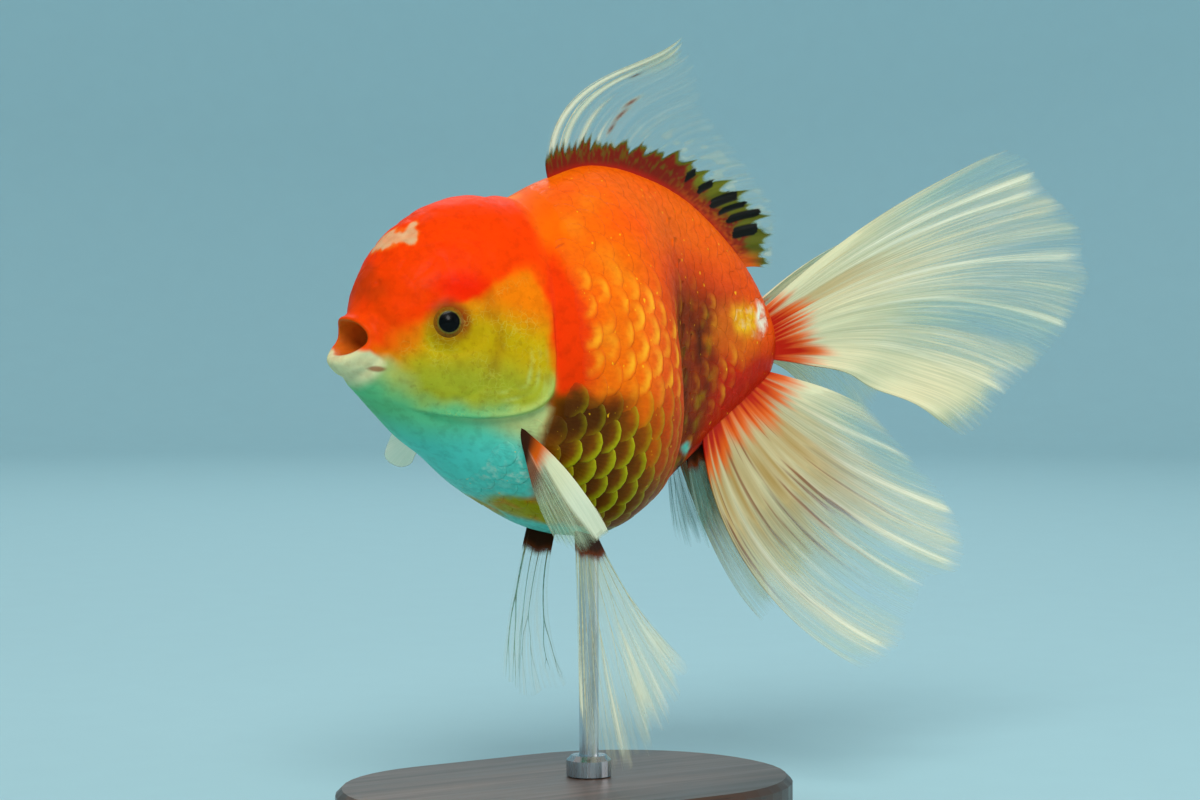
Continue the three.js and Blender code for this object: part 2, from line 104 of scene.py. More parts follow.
# Side-view lines and patches of the head and body, as (x, z).
GILL_EDGE = [
    (45, 60), (44, 32), (41.5, 16), (40, 4), (39.6, -6), (38.8, -13), (35, -17), (27, -18.7),
    (17, -18), (8, -15.5), (-2, -13.5), (-20, -12),
]
CHEEK_PLATE = [(25.5, 9), (26.8, 2), (26.4, -5), (24.4, -10.5), (20, -14), (13, -15.4)]
EYE_CREASE = [(10.2, 1.2), (12.4, -2.2), (16.6, -3.6), (21.2, -2.4), (23.8, 1.4)]
JAW_FOLD = [(4.2, 5.4), (6.4, 2.2), (7.2, -2), (6.4, -7.6)]
CAP_PATCH = [
    (-14, -0.6), (-2, -0.6), (3.5, -2.4), (5.6, -2.3), (7.6, 1.8), (10.8, 4.4), (14.2, 7.2),
    (19.6, 7.6), (24, 8.6), (26.4, 10.4), (28.8, 13.4), (32, 15.4), (38.2, 15.2), (41, 15), (42, 24),
    (43, 34), (43, 60), (-14, 60),
]
CHEEK_PATCH = [
    (6.4, -7.8), (6.2, -6.4), (5.6, -2.3), (7.6, 1.8), (10.8, 3.9), (14.2, 6.6), (19.6, 7.4),
    (23.8, 8.6), (28.7, 13.4), (36.2, 14.8), (37.8, 8.6), (38.9, 1.7), (38.5, -6.6), (40, -13),
    (35.4, -18), (27, -19.6), (17, -19), (11.5, -17),
]
BAND_PATCH = [
    (39.5, 17.5), (44, 20), (48, 12), (49.5, 2), (48, -8), (44, -14), (39, -14), (38, -3), (37, 8),
]
BREAST_PATCH = [
    (-14, -4), (3, -4), (10, -8), (20, -10), (34, -12), (38.4, -16), (38.4, -29),
    (42, -38.5), (50, -43.5), (64, -47.5), (80, -44), (80, -62), (-14, -62),
]
LOWER_PATCH = [
    (38.5, -12.6), (46, -11.4), (54.5, -14.6), (60, -19.4), (64.4, -26.6), (69, -34), (71, -43),
    (64, -48), (50, -44), (42, -38), (38, -29),
]
SHADE_PATCH = [(39, -13.4), (53, -12.6), (60, -14), (57, -18), (50, -21.5), (43, -24), (38.6, -24)]
FLANK_REAR_PATCH = [(64, -12), (70, 4), (76, -2), (78, -30), (74, -40), (67, -34), (65, -22)]
# Middles and reaches of the blots that run together into the cap's pale patch.
CAP_BLOTS = [
    ((10.2, 2, 20.2), 2.2), ((10.6, -1, 20.2), 1.9), ((12.4, 0.6, 23), 2.2), ((12.6, -3.4, 22.4), 2.2),
    ((14.4, -5.2, 23.8), 1.8), ((14, -6.6, 21.8), 1.3), ((16.4, -3.6, 26), 1.2),
]
RECESS_PATCH = [
    (77, 12), (84, 14), (98, 12), (107, 6), (110, -4), (107, -18), (98, -29), (86, -34), (79, -32),
    (76.5, -20), (75.5, -6),
]
# Where the flank scales get painted glints.
GLINT_PATCH = [(40, 17), (60, 16), (76, 9), (78, -8), (70, -14), (50, -12), (43, -4)]
ROOT_RED_PATCH = [(103, -3), (111, -5), (122, -6), (130, 0), (130, -30), (96, -32), (100, -16)]

# ---------------------------------------------------------------- small maths


def linear(red, green, blue):
    """A screen colour of 0 to 255 as linear light."""
    share = np.array([red, green, blue]) / 255
    return tuple(np.where(share <= 0.04045, share / 12.92, ((share + 0.055) / 1.055) ** 2.4).tolist())


def smooth(value, start, end):
    """0 at start, 1 at end, eased between them; start may be the larger."""
    share = np.clip((value - start) / (end - start), 0, 1)
    return share * share * (3 - 2 * share)


def lerp(start, end, share):
    return start + (end - start) * share


def hump(distance, width):
    return np.exp(-((distance / width) ** 2))


def through(values, at):
    """A smooth curve through evenly spaced values; `at` runs from 0 to 1."""
    values = np.asarray(values, float)
    at = np.asarray(at, float)
    last = len(values) - 1
    spot = np.clip(at, 0, 1) * last
    index = np.minimum(spot.astype(int), last - 1)
    t = spot - index
    if values.ndim > 1:
        t = t[..., None]
    start = values[index]
    end = values[index + 1]
    start_slope = (end - values[np.maximum(index - 1, 0)]) / 2
    end_slope = (values[np.minimum(index + 2, last)] - start) / 2
    a = 2 * start - 2 * end + start_slope + end_slope
    b = 3 * end - 3 * start - 2 * start_slope - end_slope
    return ((a * t + b) * t + start_slope) * t + start


def hashed(whole, seed):
    """Repeatable values of 0 to 1 for whole-number places of any dimension."""
    mixed = np.full(whole.shape[:-1], seed * 974711 + 12345, np.int64)
    for axis, prime in zip(range(whole.shape[-1]), (374761393, 668265263, 2147483647)):
        mixed = mixed + whole[..., axis].astype(np.int64) * prime
    mixed &= 0xFFFFFFFF
    mixed = ((mixed ^ (mixed >> 13)) * 1274126177) & 0xFFFFFFFF
    return ((mixed ^ (mixed >> 16)) & 0xFFFF) / 65535


def rough(points, size, seed):
    """Smooth noise of -1 to 1 over places of 1, 2 or 3 coordinates, with lumps of this size."""
    scaled = np.asarray(points, float) / size
    low = np.floor(scaled).astype(np.int64)
    part = scaled - low
    part = part * part * (3 - 2 * part)
    count = scaled.shape[-1]
    total = 0
    for corner in range(2 ** count):
        step = np.array([(corner >> axis) & 1 for axis in range(count)])
        weight = np.prod(np.where(step, part, 1 - part), axis=-1)
        total = total + weight * hashed(low + step, seed)
    return 2 * total - 1


def cell_gap(points, size, seed):
    """How much nearer the nearest cell centre is than the next one, in the points' unit."""
    scaled = points / size
    low = np.floor(scaled).astype(np.int64)
    first = np.full(len(points), 9.0)
    second = np.full(len(points), 9.0)
    for corner in range(27):
        step = np.array([corner % 3, corner // 3 % 3, corner // 9]) - 1
        cell = low + step
        jitter = np.stack([hashed(cell, seed + axis) for axis in range(3)], -1)
        away = np.linalg.norm(scaled - cell - 0.15 - 0.7 * jitter, axis=-1)
        second = np.minimum(second, np.maximum(first, away))
        first = np.minimum(first, away)
    return (second - first) * size


def line_gap(line, x, z):
    """Distance to an open line in side view, rounded through its corners."""
    path = through(line, np.linspace(0, 1, 8 * len(line)))
    return segment_gap(path[:-1], path[1:], x, z)[0]


def segment_gap(starts, ends, x, z):
    """Distance to the nearest of some segments, and on which side of it a point lies."""
    best = np.full(len(x), 1e9)
    side = np.zeros(len(x))
    for (ax, az), (bx, bz) in zip(starts, ends):
        dx, dz = bx - ax, bz - az
        share = np.clip(((x - ax) * dx + (z - az) * dz) / (dx * dx + dz * dz), 0, 1)
        away = np.hypot(x - ax - share * dx, z - az - share * dz)
        nearer = away < best
        best = np.where(nearer, away, best)
        side = np.where(nearer, np.sign(dx * (z - az) - dz * (x - ax)), side)
    return best, side


def ahead_of_gills(x, z):
    """Distance to the gill cover's rear edge: positive in front of it, negative behind."""
    path = through(GILL_EDGE, np.linspace(0, 1, 60))
    away, side = segment_gap(path[:-1], path[1:], x, z)
    return -away * side


def inside(patch, x, z):
    """Distance to a side-view patch's outline, positive inside it."""
    corners = np.asarray(patch, float)
    ends = np.roll(corners, -1, axis=0)
    away, _ = segment_gap(corners, ends, x, z)
    within = np.zeros(len(x), bool)
    for (ax, az), (bx, bz) in zip(corners, ends):
        if az == bz:
            continue
        crosses = (az > z) != (bz > z)
        within ^= crosses & (x < ax + (z - az) * (bx - ax) / (bz - az))
    return np.where(within, away, -away)


# ---------------------------------------------------------------- the body's surface


def place(points):
    """Swings body-frame points along the tail's bend and sets them over the stand."""
    x, y, z = np.moveaxis(np.asarray(points, float), -1, 0)
    along = np.clip(x - BEND_START, 0, BEND_LENGTH)
    turn = np.arctan(2 * BEND_RATE * along)
    beyond = np.maximum(x - BEND_START - BEND_LENGTH, 0)
    middle_x = x - beyond + beyond * np.cos(turn)
    middle_y = BEND_RATE * along * along + beyond * np.sin(turn)
    return np.stack([
        SNOUT_X + middle_x - y * np.sin(turn),
        middle_y + y * np.cos(turn),
        MOUTH_Z + z,
    ], -1)


def rim(station, angle):
    """Body-frame points at these stations; angle 0 is the back and a quarter turn the right side."""
    shape = through(STATIONS, station / LAST_STATION)
    x, level, up, down, wide, ridge, keel, lean, bow = np.moveaxis(shape, -1, 0)
    upper = np.cos(angle) >= 0
    rise = np.where(upper, up, down) * np.cos(angle)
    power = np.where(upper, ridge, keel)
    side = np.sign(np.sin(angle)) * np.abs(np.sin(angle)) ** power
    lean = np.radians(lean)
    return np.stack([
        x + rise * np.sin(lean) + bow * np.sin(angle) ** 2,
        wide * side,
        level + rise * np.cos(lean),
    ], -1)


def surface(station, angle):
    """Placed points, their outward directions and the directions towards the tail."""
    small = 1e-3
    spots = place(rim(station, angle))
    before = np.maximum(station - small, 0)
    after = np.minimum(station + small, LAST_STATION)
    back = place(rim(after, angle)) - place(rim(before, angle))
    around = place(rim(station, angle + small)) - place(rim(station, angle - small))
    facing = np.cross(back, around)
    facing /= np.maximum(np.linalg.norm(facing, axis=-1, keepdims=True), 1e-12)
    back /= np.maximum(np.linalg.norm(back, axis=-1, keepdims=True), 1e-12)
    return spots, facing, back


def station_at(x):
    """The station behind the lips at a distance from the snout."""
    stations = np.linspace(LIP_CREST, LAST_STATION, 2000)
    return np.interp(x, through(STATIONS[:, 0], stations / LAST_STATION), stations)


def eye_middle(side):
    """Body-frame point of the skin's surface over an eyeball's centre."""
    shape = dict(zip(STATION_FIELDS, through(STATIONS, station_at(EYE_X) / LAST_STATION)))
    share = (EYE_Z - shape["level"]) / shape["up"]
    half = shape["wide"] * math.sqrt(1 - share * share) ** shape["ridge"]
    return np.array([EYE_X, side * half, EYE_Z])


def relief(points, station, coat_depth):
    """How far the skin stands out from the plain body: folds, lips, sockets, plates and lobes."""
    x, y, z = points.T
    side = np.where(y < 0, LEFT, RIGHT)
    eye = np.where(side[:, None] < 0, eye_middle(LEFT), eye_middle(RIGHT))
    edge = ahead_of_gills(x, z)
    height = -coat_depth * smooth(edge, 0.8, -0.8) * smooth(x, 16, 26)

    wander = np.stack([rough(points, 6, 11), rough(points, 6, 12), rough(points, 6, 13)], -1)
    cap = smooth(inside(CAP_PATCH, x, z), -0.5, 3.5) * smooth(x, 1.5, 6)
    gap = cell_gap(points + 2.4 * wander, 6.5, 5)
    creased = smooth(x, 26, 13) * smooth(z, 10, 18)
    height += cap * (0.3 - (0.05 + 0.2 * creased) * np.exp(-gap / 1.3) + 0.1 * rough(points, 3, 21))
    height += cap * 0.16 * rough(points, 11, 22)
    height += 0.8 * smooth(z, 19, 26) * hump(edge - 2.6, 2.4)

    cover = smooth(z, 9, 1) * smooth(x, 9, 20)
    lid = smooth(edge, -0.3, 0.6)
    height += cover * lid * (0.85 * np.exp(-np.maximum(edge, 0) / 6) + 0.16 * hump(edge - 0.9, 0.5))
    height -= cover * (1 - lid) * 0.5 * np.exp(np.minimum(edge, 0) / 2.6)
    corner = smooth(z, -4, -10) * smooth(x, 24, 32)
    for back, depth in ((2.4, 0.16), (4.2, 0.12), (6.4, 0.1)):
        height -= corner * depth * hump(edge - back - 0.5 * rough(points, 5, 17), 0.45)
    behind = x - 75 - 0.06 * np.maximum(-z, 0)
    fold = smooth(z, 12, 0) * smooth(z, -36, -26) * smooth(np.abs(y), 8, 14)
    height -= 1.3 * fold * smooth(behind, 0, 3) * smooth(behind, 22, 8)
    plate = line_gap(CHEEK_PLATE, x, z)
    height -= 0.22 * hump(plate, 1.0) * smooth(edge, 2, 5)
    height -= 0.16 * hump(line_gap(EYE_CREASE, x, z), 0.6)
    height -= 0.3 * hump(line_gap(JAW_FOLD, x, z), 1.1) * smooth(station, LIP_CREST + 0.8, LIP_CREST + 1.4)

    lower = smooth(z, 0, -3.4)
    height += (0.15 + 0.55 * lower) * hump(station - LIP_CREST - 0.2, 0.6)
    height -= (0.1 + 0.5 * lower) * hump(station - LIP_CREST - 1.6, 0.36)
    nostril = np.linalg.norm(points - np.stack([0 * x + 3.6, side * 4.2, 0 * x + 12], -1), axis=-1)
    height += 1.0 * hump(nostril, 1.1)
    pit = np.linalg.norm(points - np.stack([0 * x + 5.2, side * 5, 0 * x + 12.6], -1), axis=-1)
    height -= 0.6 * hump(pit, 0.8)

    away = np.linalg.norm(points - eye, axis=-1)
    height += 0.42 * smooth(away, 6.4, 3.1)
    height -= 2.8 * smooth(away, 3.1, 2.5)
    height -= 0.3 * hump(away - 7, 2)
    height += 0.05 * rough(points, 1.6, 31) * smooth(edge, -1, 1)
    return height


# ---------------------------------------------------------------- the markings, painted shade and painted highlights


def paint(base, colour, mask):
    mask = np.clip(mask, 0, 1)[:, None]
    return base * (1 - mask) + np.asarray(colour)[:3] * mask


def spot(points, middle, reach):
    """1 at the middle of a soft round mark, 0 beyond its reach."""
    away = np.linalg.norm((points - np.array(middle)) / np.array(reach), axis=-1)
    return smooth(away, 1, 0.45)


def markings(points, station, colours):
    """Colour, with painted shade, highlights and reflection in it, and the shares of green rim, painted glint and
    mother-of-pearl, at body-frame points.
    """
    wander = np.stack([rough(points, 5, 41), rough(points, 5, 47), rough(points, 5, 42)], -1)
    fine = np.stack([rough(points, 1.8, 43), rough(points, 1.8, 48), rough(points, 1.8, 44)], -1)
    moved = points + 1.1 * wander + 0.45 * fine
    x, _, z = moved.T
    plain_x, y, plain_z = points.T
    flat = np.abs(y)
    edge = ahead_of_gills(plain_x, plain_z)
    head = smooth(edge, -0.6, 0.3)
    mottle = rough(points, 9, 45)
    blotch = rough(points, 3.2, 46)

    tint = np.tile(np.asarray(colours.flank)[:3], (len(points), 1))
    tint = paint(tint, colours.back, smooth(plain_z, 10, 34) * 0.9)
    # Painted highlights: soft patches of bright yellow-orange on the front flank, under the scales.
    tint = paint(tint, colours.glint, np.clip(0.5 * rough(points, 6.5, 51) - 0.05, 0, 0.3) * smooth(plain_x, 66, 54))
    tint = paint(tint, colours.band, np.clip(0.3 * mottle + 0.2 * blotch, 0, 0.45))
    tint = paint(tint, colours.band, smooth(plain_x, 60, 74) * smooth(plain_z, 30, 10) * 0.6)
    tint = paint(tint, colours.band, smooth(inside(BAND_PATCH, x, z), -3.5, 2.5))
    rear = smooth(inside(FLANK_REAR_PATCH, x, z), -3.5, 3.5)
    tint = paint(tint, colours.flank_rear, rear * 0.7 * smooth(plain_z, 2, -16))
    low_edge = (inside(LOWER_PATCH, x, z) + 1.6 * blotch) / lerp(1.2, 3.2, smooth(plain_x, 54, 66))
    lower = smooth(low_edge, -1.6, 1.8)
    tint = paint(tint, colours.scale_centre, lower * (1 - 0.6 * rear))
    # Painted light: the lower scales turn yellow-green where the light falls most.
    lit = spot(moved, (48, 0, -31), (13, 30, 11))
    tint = paint(tint, colours.rim, lower * lit * 0.5)
    tint = paint(tint, colours.ember, lower * smooth(plain_x, 56, 70) * smooth(plain_z, -40, -24) * 0.35)
    dusky = smooth(plain_x, 52, 62) * smooth(plain_x, 82, 74)
    tint = paint(tint, colours.scale_centre, dusky * smooth(plain_z, -12, -22) * (0.35 + 0.3 * blotch))
    tint = paint(tint, colours.scale_centre, dusky * smooth(plain_z, -28, -38) * 0.7)
    # Painted shade: dark brown below the flank's widest line, behind the side fin.
    shade = smooth(inside(SHADE_PATCH, x, z), -1.5, 2.5)
    tint = paint(tint, colours.shade, shade * 0.7)
    # Painted shade over the hollow before the tail: its own red is painted dark red, led in with red-brown that is
    # stronger higher up, mottled dark brown, and darker still in a patch low down.
    hollow = inside(RECESS_PATCH, x, z)
    above = smooth(plain_z, -8, 8)
    tint = paint(tint, colours.flank_rear, smooth(hollow, -9, 0) * smooth(plain_x, 68, 76) * lerp(0.5, 1, above))
    hollow_shade = smooth(hollow / lerp(1.5, 8, above), -0.6, 1)
    tint = paint(tint, colours.hollow_shade, hollow_shade)
    dim = np.clip(0.3 + 0.75 * blotch + 0.4 * mottle, 0, 0.9) * smooth(plain_z, 14, 2)
    tint = paint(tint, colours.shade, hollow_shade * dim * 0.8)
    streaks = smooth(rough(points * np.array([0.5, 1, 1.6]), 1.7, 57), 0.25, 0.8)
    tint = paint(tint, colours.ember, streaks * smooth(hollow, -4, 5) * smooth(plain_x, 84, 100) * 0.55)
    dusk = spot(moved, (98, 0, -16), (14, 30, 10)) * smooth(rough(points, 3, 58), -0.5, 0.5)
    tint = paint(tint, colours.hollow_shade, dusk * 0.7)
    tint = paint(tint, colours.olive, hollow_shade * np.clip(rough(points, 2.2, 52) - 0.3, 0, 0.3))
    tint = paint(tint, colours.root, smooth(inside(ROOT_RED_PATCH, x, z), -6, 4))
    # The tail's root has gold and silvery-white scales of its own; their bright shine is painted in as highlight.
    sparkle = smooth(rough(points, 1.2, 55), -0.5, 0.3)
    gold = spot(moved, (111, 0, 2.5), (7.5, 30, 6))
    tint = paint(tint, colours.ember, spot(moved, (108, 0, 0), (14, 30, 11)) * 0.7)
    tint = paint(tint, colours.gold, np.clip(gold * (0.45 + 0.75 * sparkle), 0, 1))
    frayed = spot(moved, (117.6, 0, 3), (3.8, 30, 6)) + 0.32 * rough(points, 2.4, 60)
    pearl_end_and_highlight = smooth(frayed, 0.34, 0.72) * (0.2 + 0.8 * sparkle)
    tint = paint(tint, colours.pearl, pearl_end_and_highlight)
    # Painted glint on a belly scale near the anal fins, with painted shade just under it.
    tint = paint(tint, colours.shade, spot(moved, (91, 0, -33), (5, 30, 3)) * smooth(flat, 2, 5))
    tint = paint(tint, colours.breast, spot(moved, (90, 0, -28.5), (3.2, 30, 2.4)) * smooth(flat, 4, 7))

    # Painted reflection: the white breast, belly and throat are tinted blue-green as by light from the water round
    # them; the keel below gets the same.
    belly = smooth(inside(BREAST_PATCH, x, z), -1.4, 1.6)
    pale = np.tile(np.asarray(colours.breast)[:3], (len(points), 1))
    under = plain_z + 1.5 * mottle
    pale = paint(pale, colours.throat, smooth(under, -27, -17) * smooth(plain_x, 40, 30))
    pale = paint(pale, colours.chin, smooth(under + 0.5 * plain_x, -10, -3.5))
    tint = tint * (1 - belly[:, None]) + pale * belly[:, None]
    # Painted shade in the corner behind the gill cover, over the side fin's root.
    armpit_shade = np.clip(1.3 * spot(moved, (39, 0, -16.5), (5, 30, 6)), 0, 1)
    tint = paint(tint, colours.shade, armpit_shade * 0.75)
    keel = smooth(flat, 7, 3.5) * smooth(plain_z, -34, -38) * smooth(plain_x, 82, 70)
    tint = paint(tint, colours.breast, keel)
    sided = np.stack([x, np.abs(points[:, 1]), z], -1)
    olive = np.clip(1.3 * spot(sided, (45, 7, -40.5), (14, 11, 5.6)), 0, 1)
    tint = paint(tint, colours.olive, olive)
    tint = paint(tint, colours.ember, olive * smooth(rough(points, 2.6, 56), 0.1, 0.7) * 0.5)

    melt = lerp(1.3, 5.5, smooth(plain_x, 18, 9))
    cheek = smooth(inside(CHEEK_PATCH, x, z) / melt, -1, 1) * smooth(edge, -0.5, 0.2)
    slope = plain_z + 0.12 * (plain_x - 20)
    gilded = np.tile(np.asarray(colours.cheek)[:3], (len(points), 1))
    gilded = paint(gilded, colours.cheek_top, smooth(slope + 1.5 * mottle + 0.16 * (plain_x - 24), 1, 12))
    # Partly painted light: towards its bottom the olive cheek is painted greener, grading into the throat's painted
    # green, as by blue-green light from below.
    gilded = paint(gilded, colours.cheek_low, smooth(slope + 1.8 * mottle, -2, -11))
    gilded = paint(gilded, colours.throat, smooth(slope + 1.0 * blotch, -12.5, -18.5))
    warm = spot(moved, (33, 0, -5), (7, 30, 9))
    gilded = paint(gilded, colours.cheek_warm, warm * 0.75)
    front = spot(moved, (8, 0, 0), (6, 30, 7))
    gilded = paint(gilded, colours.snout, front * 0.6)
    # Painted shade: brown along the cheek plate's line, where its groove lies.
    plate = line_gap(CHEEK_PLATE, x, z)
    gilded = paint(gilded, colours.brown_patch_and_shade, 0.28 * hump(plate, 1.5) * smooth(plain_z, -12, -6))
    tint = tint * (1 - cheek[:, None]) + gilded * cheek[:, None]
    corner = smooth(plain_z, -1, -9) * smooth(plain_x, 22, 31)
    # Painted highlight: pale light along the gill cover's lower rim.
    tint = paint(tint, colours.rim_light, 0.75 * corner * smooth(plain_z, -7, -12) * hump(edge - 1.0, 1.0))
    for back in (2.6, 4.3, 6.2):
        line = hump(edge - back - 0.7 * rough(points, 5, 17), 0.42) * corner
        tint = paint(tint, colours.rim_light, 0.6 * line * smooth(rough(points, 3, 54), -0.6, 0.3))

    blur = lerp(lerp(0.9, 3, smooth(plain_x, 30, 40)), 2.8, smooth(plain_x, 16, 9))
    cap = smooth(inside(CAP_PATCH, x, z) / blur, -1, 1)
    cap = cap * lerp(head, 1, smooth(plain_z, 12, 17))
    red = np.tile(np.asarray(colours.cap)[:3], (len(points), 1))
    red = paint(red, colours.cap_deep, spot(points, (21, 0, 11.5), (10, 40, 5.5)) * 0.8)
    red = paint(red, colours.snout, smooth(plain_x + 0.6 * plain_z, 14, 4) * 0.5)
    red = paint(red, colours.cap_deep, np.clip(0.3 * mottle + 0.15 * blotch, 0, 0.4))
    # Painted shade: darker brown on the cap's front edge, towards the snout.
    red = paint(red, colours.brown_patch_and_shade, spot(moved, (3, 0, 14), (5, 40, 7)) * 0.4)
    red = paint(red, colours.brown_patch_and_shade, smooth(plain_z, 33, 37) * smooth(rough(points, 3, 61), -0.2, 0.5) * 0.4)
    tint = tint * (1 - cap[:, None]) + red * cap[:, None]
    patch = sum(hump(np.linalg.norm(points - np.array(middle), axis=-1), reach) for middle, reach in CAP_BLOTS)
    ragged = 0.3 * rough(points, 1.9, 49) + 0.16 * rough(points, 0.8, 50)
    patch = patch + ragged * smooth(patch, 0.02, 0.3)
    tint = paint(tint, colours.halo, smooth(patch, 0.12, 0.5) * 0.85)
    tint = paint(tint, colours.blush, smooth(patch, 0.4, 0.8) * (0.82 + 0.18 * rough(points, 1.3, 53)))

    eye = np.where(y[:, None] < 0, eye_middle(LEFT), eye_middle(RIGHT))
    away = np.linalg.norm(points - eye, axis=-1)
    above = smooth((plain_z - EYE_Z) + 0.8 * (plain_x - EYE_X), -3, 3)
    # Painted shade: brown round the eye socket, stronger above and behind it.
    tint = paint(tint, colours.brown_patch_and_shade, smooth(away, 6.8, 3.4) * (0.5 + 0.4 * above))
    tint = paint(tint, colours.brown_patch_and_shade, smooth(away, 6, 3.6) * smooth(plain_x - EYE_X, 0.5, 4) * 0.5)

    corner_line = plain_z + 0.85 * np.maximum(plain_x - 1.8, 0)
    lip_side = smooth(corner_line, -2.2, -3.6)
    lower_lip = smooth(station, LIP_CREST + 2.6, LIP_CREST + 1.7) * lip_side
    tint = paint(tint, colours.lip, lower_lip * smooth(plain_z, -15, -9))
    upper_lip = smooth(station, LIP_CREST + 0.9, LIP_CREST + 0.1) * (1 - lip_side)
    tint = paint(tint, colours.snout, 0.85 * upper_lip)
    inner = smooth(station, LIP_CREST - 0.1 - 0.4 * lip_side, LIP_CREST - 0.4 - 0.5 * lip_side)
    # Partly painted light: the mouth's orange-brown lining is painted brighter than it is, to stand in for light
    # reaching inside.
    tint = paint(tint, colours.mouth, inner)
    # Painted shade: darker deep in the mouth, and a brown spot in its corner.
    tint = paint(tint, colours.shade, smooth(station, 0.9, 0.1) * 0.35)
    corner = spot(points, (3.4, 0, -7.2), (2.4, 40, 0.9))
    tint = paint(tint, colours.brown_patch_and_shade, corner * 0.75)

    tint = tint * (1 + 0.07 * mottle + 0.05 * blotch)[:, None]
    deep_in = smooth(inside(LOWER_PATCH, plain_x, plain_z), -1, 6) * lerp(1, 0.4, smooth(plain_x, 56, 70))
    net = deep_in * (1 - belly) * (1 - 0.7 * shade)
    net = np.maximum(net, 0.4 * smooth(plain_z, -8, -20) * smooth(plain_x, 52, 60) * smooth(plain_x, 80, 74))
    # Painted highlights: the share of a bright glint on the flank scales, and fainter ones in the hollow.
    glint = smooth(inside(GLINT_PATCH, x, z), -4, 5) * (1 - lower) * smooth(plain_z, 20, 8)
    glint = np.maximum(glint, 0.5 * smooth(hollow, -5, 3) * smooth(rough(points, 4, 59), -0.2, 0.5))
    # Mother-of-pearl: silvery scales at the tail's root and on the breast; their bright flashes are painted glints.
    bright = spot(points, (36, 0, -30), (9, 40, 7))
    pearl = np.clip(pearl_end_and_highlight + 0.35 * gold + 0.6 * belly * bright * (1 - olive), 0, 1)
    return np.clip(tint, 0, 1), np.stack([net, glint, pearl], -1)


# ---------------------------------------------------------------- fins

# Every fin is a fan of rays. root: base points; rise, fall: a ray's angle over the level at its
# start and tip; splay, flare: its angle outwards; length: millimetres. Each runs from first ray to last.
# rays: main rays; fray: how ragged the edge is between rays, tear: how deep its larger splits are.
DORSAL = {
    "root": [(57, 0, 36), (68, 0, 38.6), (81, 0, 37.5), (94, 0, 33), (107, 0, 25), (117, 0, 15.5)],
    "rise": [112, 100, 86, 47, 27, 12],
    "fall": [0, 8, 14, 8, 5, -8],
    "flick": [46, 34, 2, 0, 0, 0],
    "splay": [5, 5, 4, 3, 2, 0],
    "flare": [13, 12, 7, 5, 2, 0],
    "length": [58, 44, 30, 26, 23, 14],
    "ease": 2, "thick": (1.4, 0.55), "ripple": 0.6, "waves": 2.5,
    "rays": 19, "fray": 0.08, "tear": 0.03, "columns": 305, "rows": 56, "girth": 0.2,
}
PECTORAL = {
    "root": [(33.4, 21.8, -20.6), (34.2, 21.6, -23.4), (34.8, 21.3, -26)],
    "ease": 1, "thick": (1.6, 0.55), "ripple": 0.7, "waves": 1.5,
    "rays": 12, "fray": 0.015, "tear": 0, "columns": 96, "rows": 40, "girth": 0.14,
}
PELVIC = {
    "root": [(57.5, 9.6, -45.5), (61, 9, -47), (64.5, 7.6, -47)],
    "ease": 1, "thick": (1.5, 0.5), "ripple": 1.3, "waves": 1.6,
    "rays": 9, "fray": 0.08, "tear": 0.14, "columns": 108, "rows": 60, "girth": 0.15,
}
ANAL = {
    "root": [(96, 3.6, -30.6), (99.4, 3.4, -28.6), (103, 3, -26.4)],
    "rise": [-84, -72, -60], "fall": [-70, -56, -44], "splay": [16, 14, 10], "flare": [10, 8, 6],
    "length": [25, 26, 22],
    "ease": 1, "thick": (1.2, 0.5), "ripple": 0.6, "waves": 1.2,
    "rays": 7, "fray": 0.1, "tear": 0.1, "columns": 56, "rows": 30, "girth": 0.16,
}
TAIL = {
    "ease": 1, "thick": (1.5, 0.5), "ripple": 2.1, "waves": 2,
    "rays": 22, "fray": 0.015, "tear": 0.05, "columns": 199, "rows": 72, "girth": 0.07,
    "pleated": [(0, 0.25)],
}
TAIL_UPPER = {**TAIL, "root": [(123, 2.2, 5), (125, 3, 1), (125.6, 3.4, -3), (125, 3.6, -7.4)]}
TAIL_LOWER = {
    **TAIL, "tear": 0.14,
    "root": [(123.4, 3.6, -10.4), (117, 4.6, -15.4), (108, 5.4, -20.4), (99, 6, -25.4)],
}
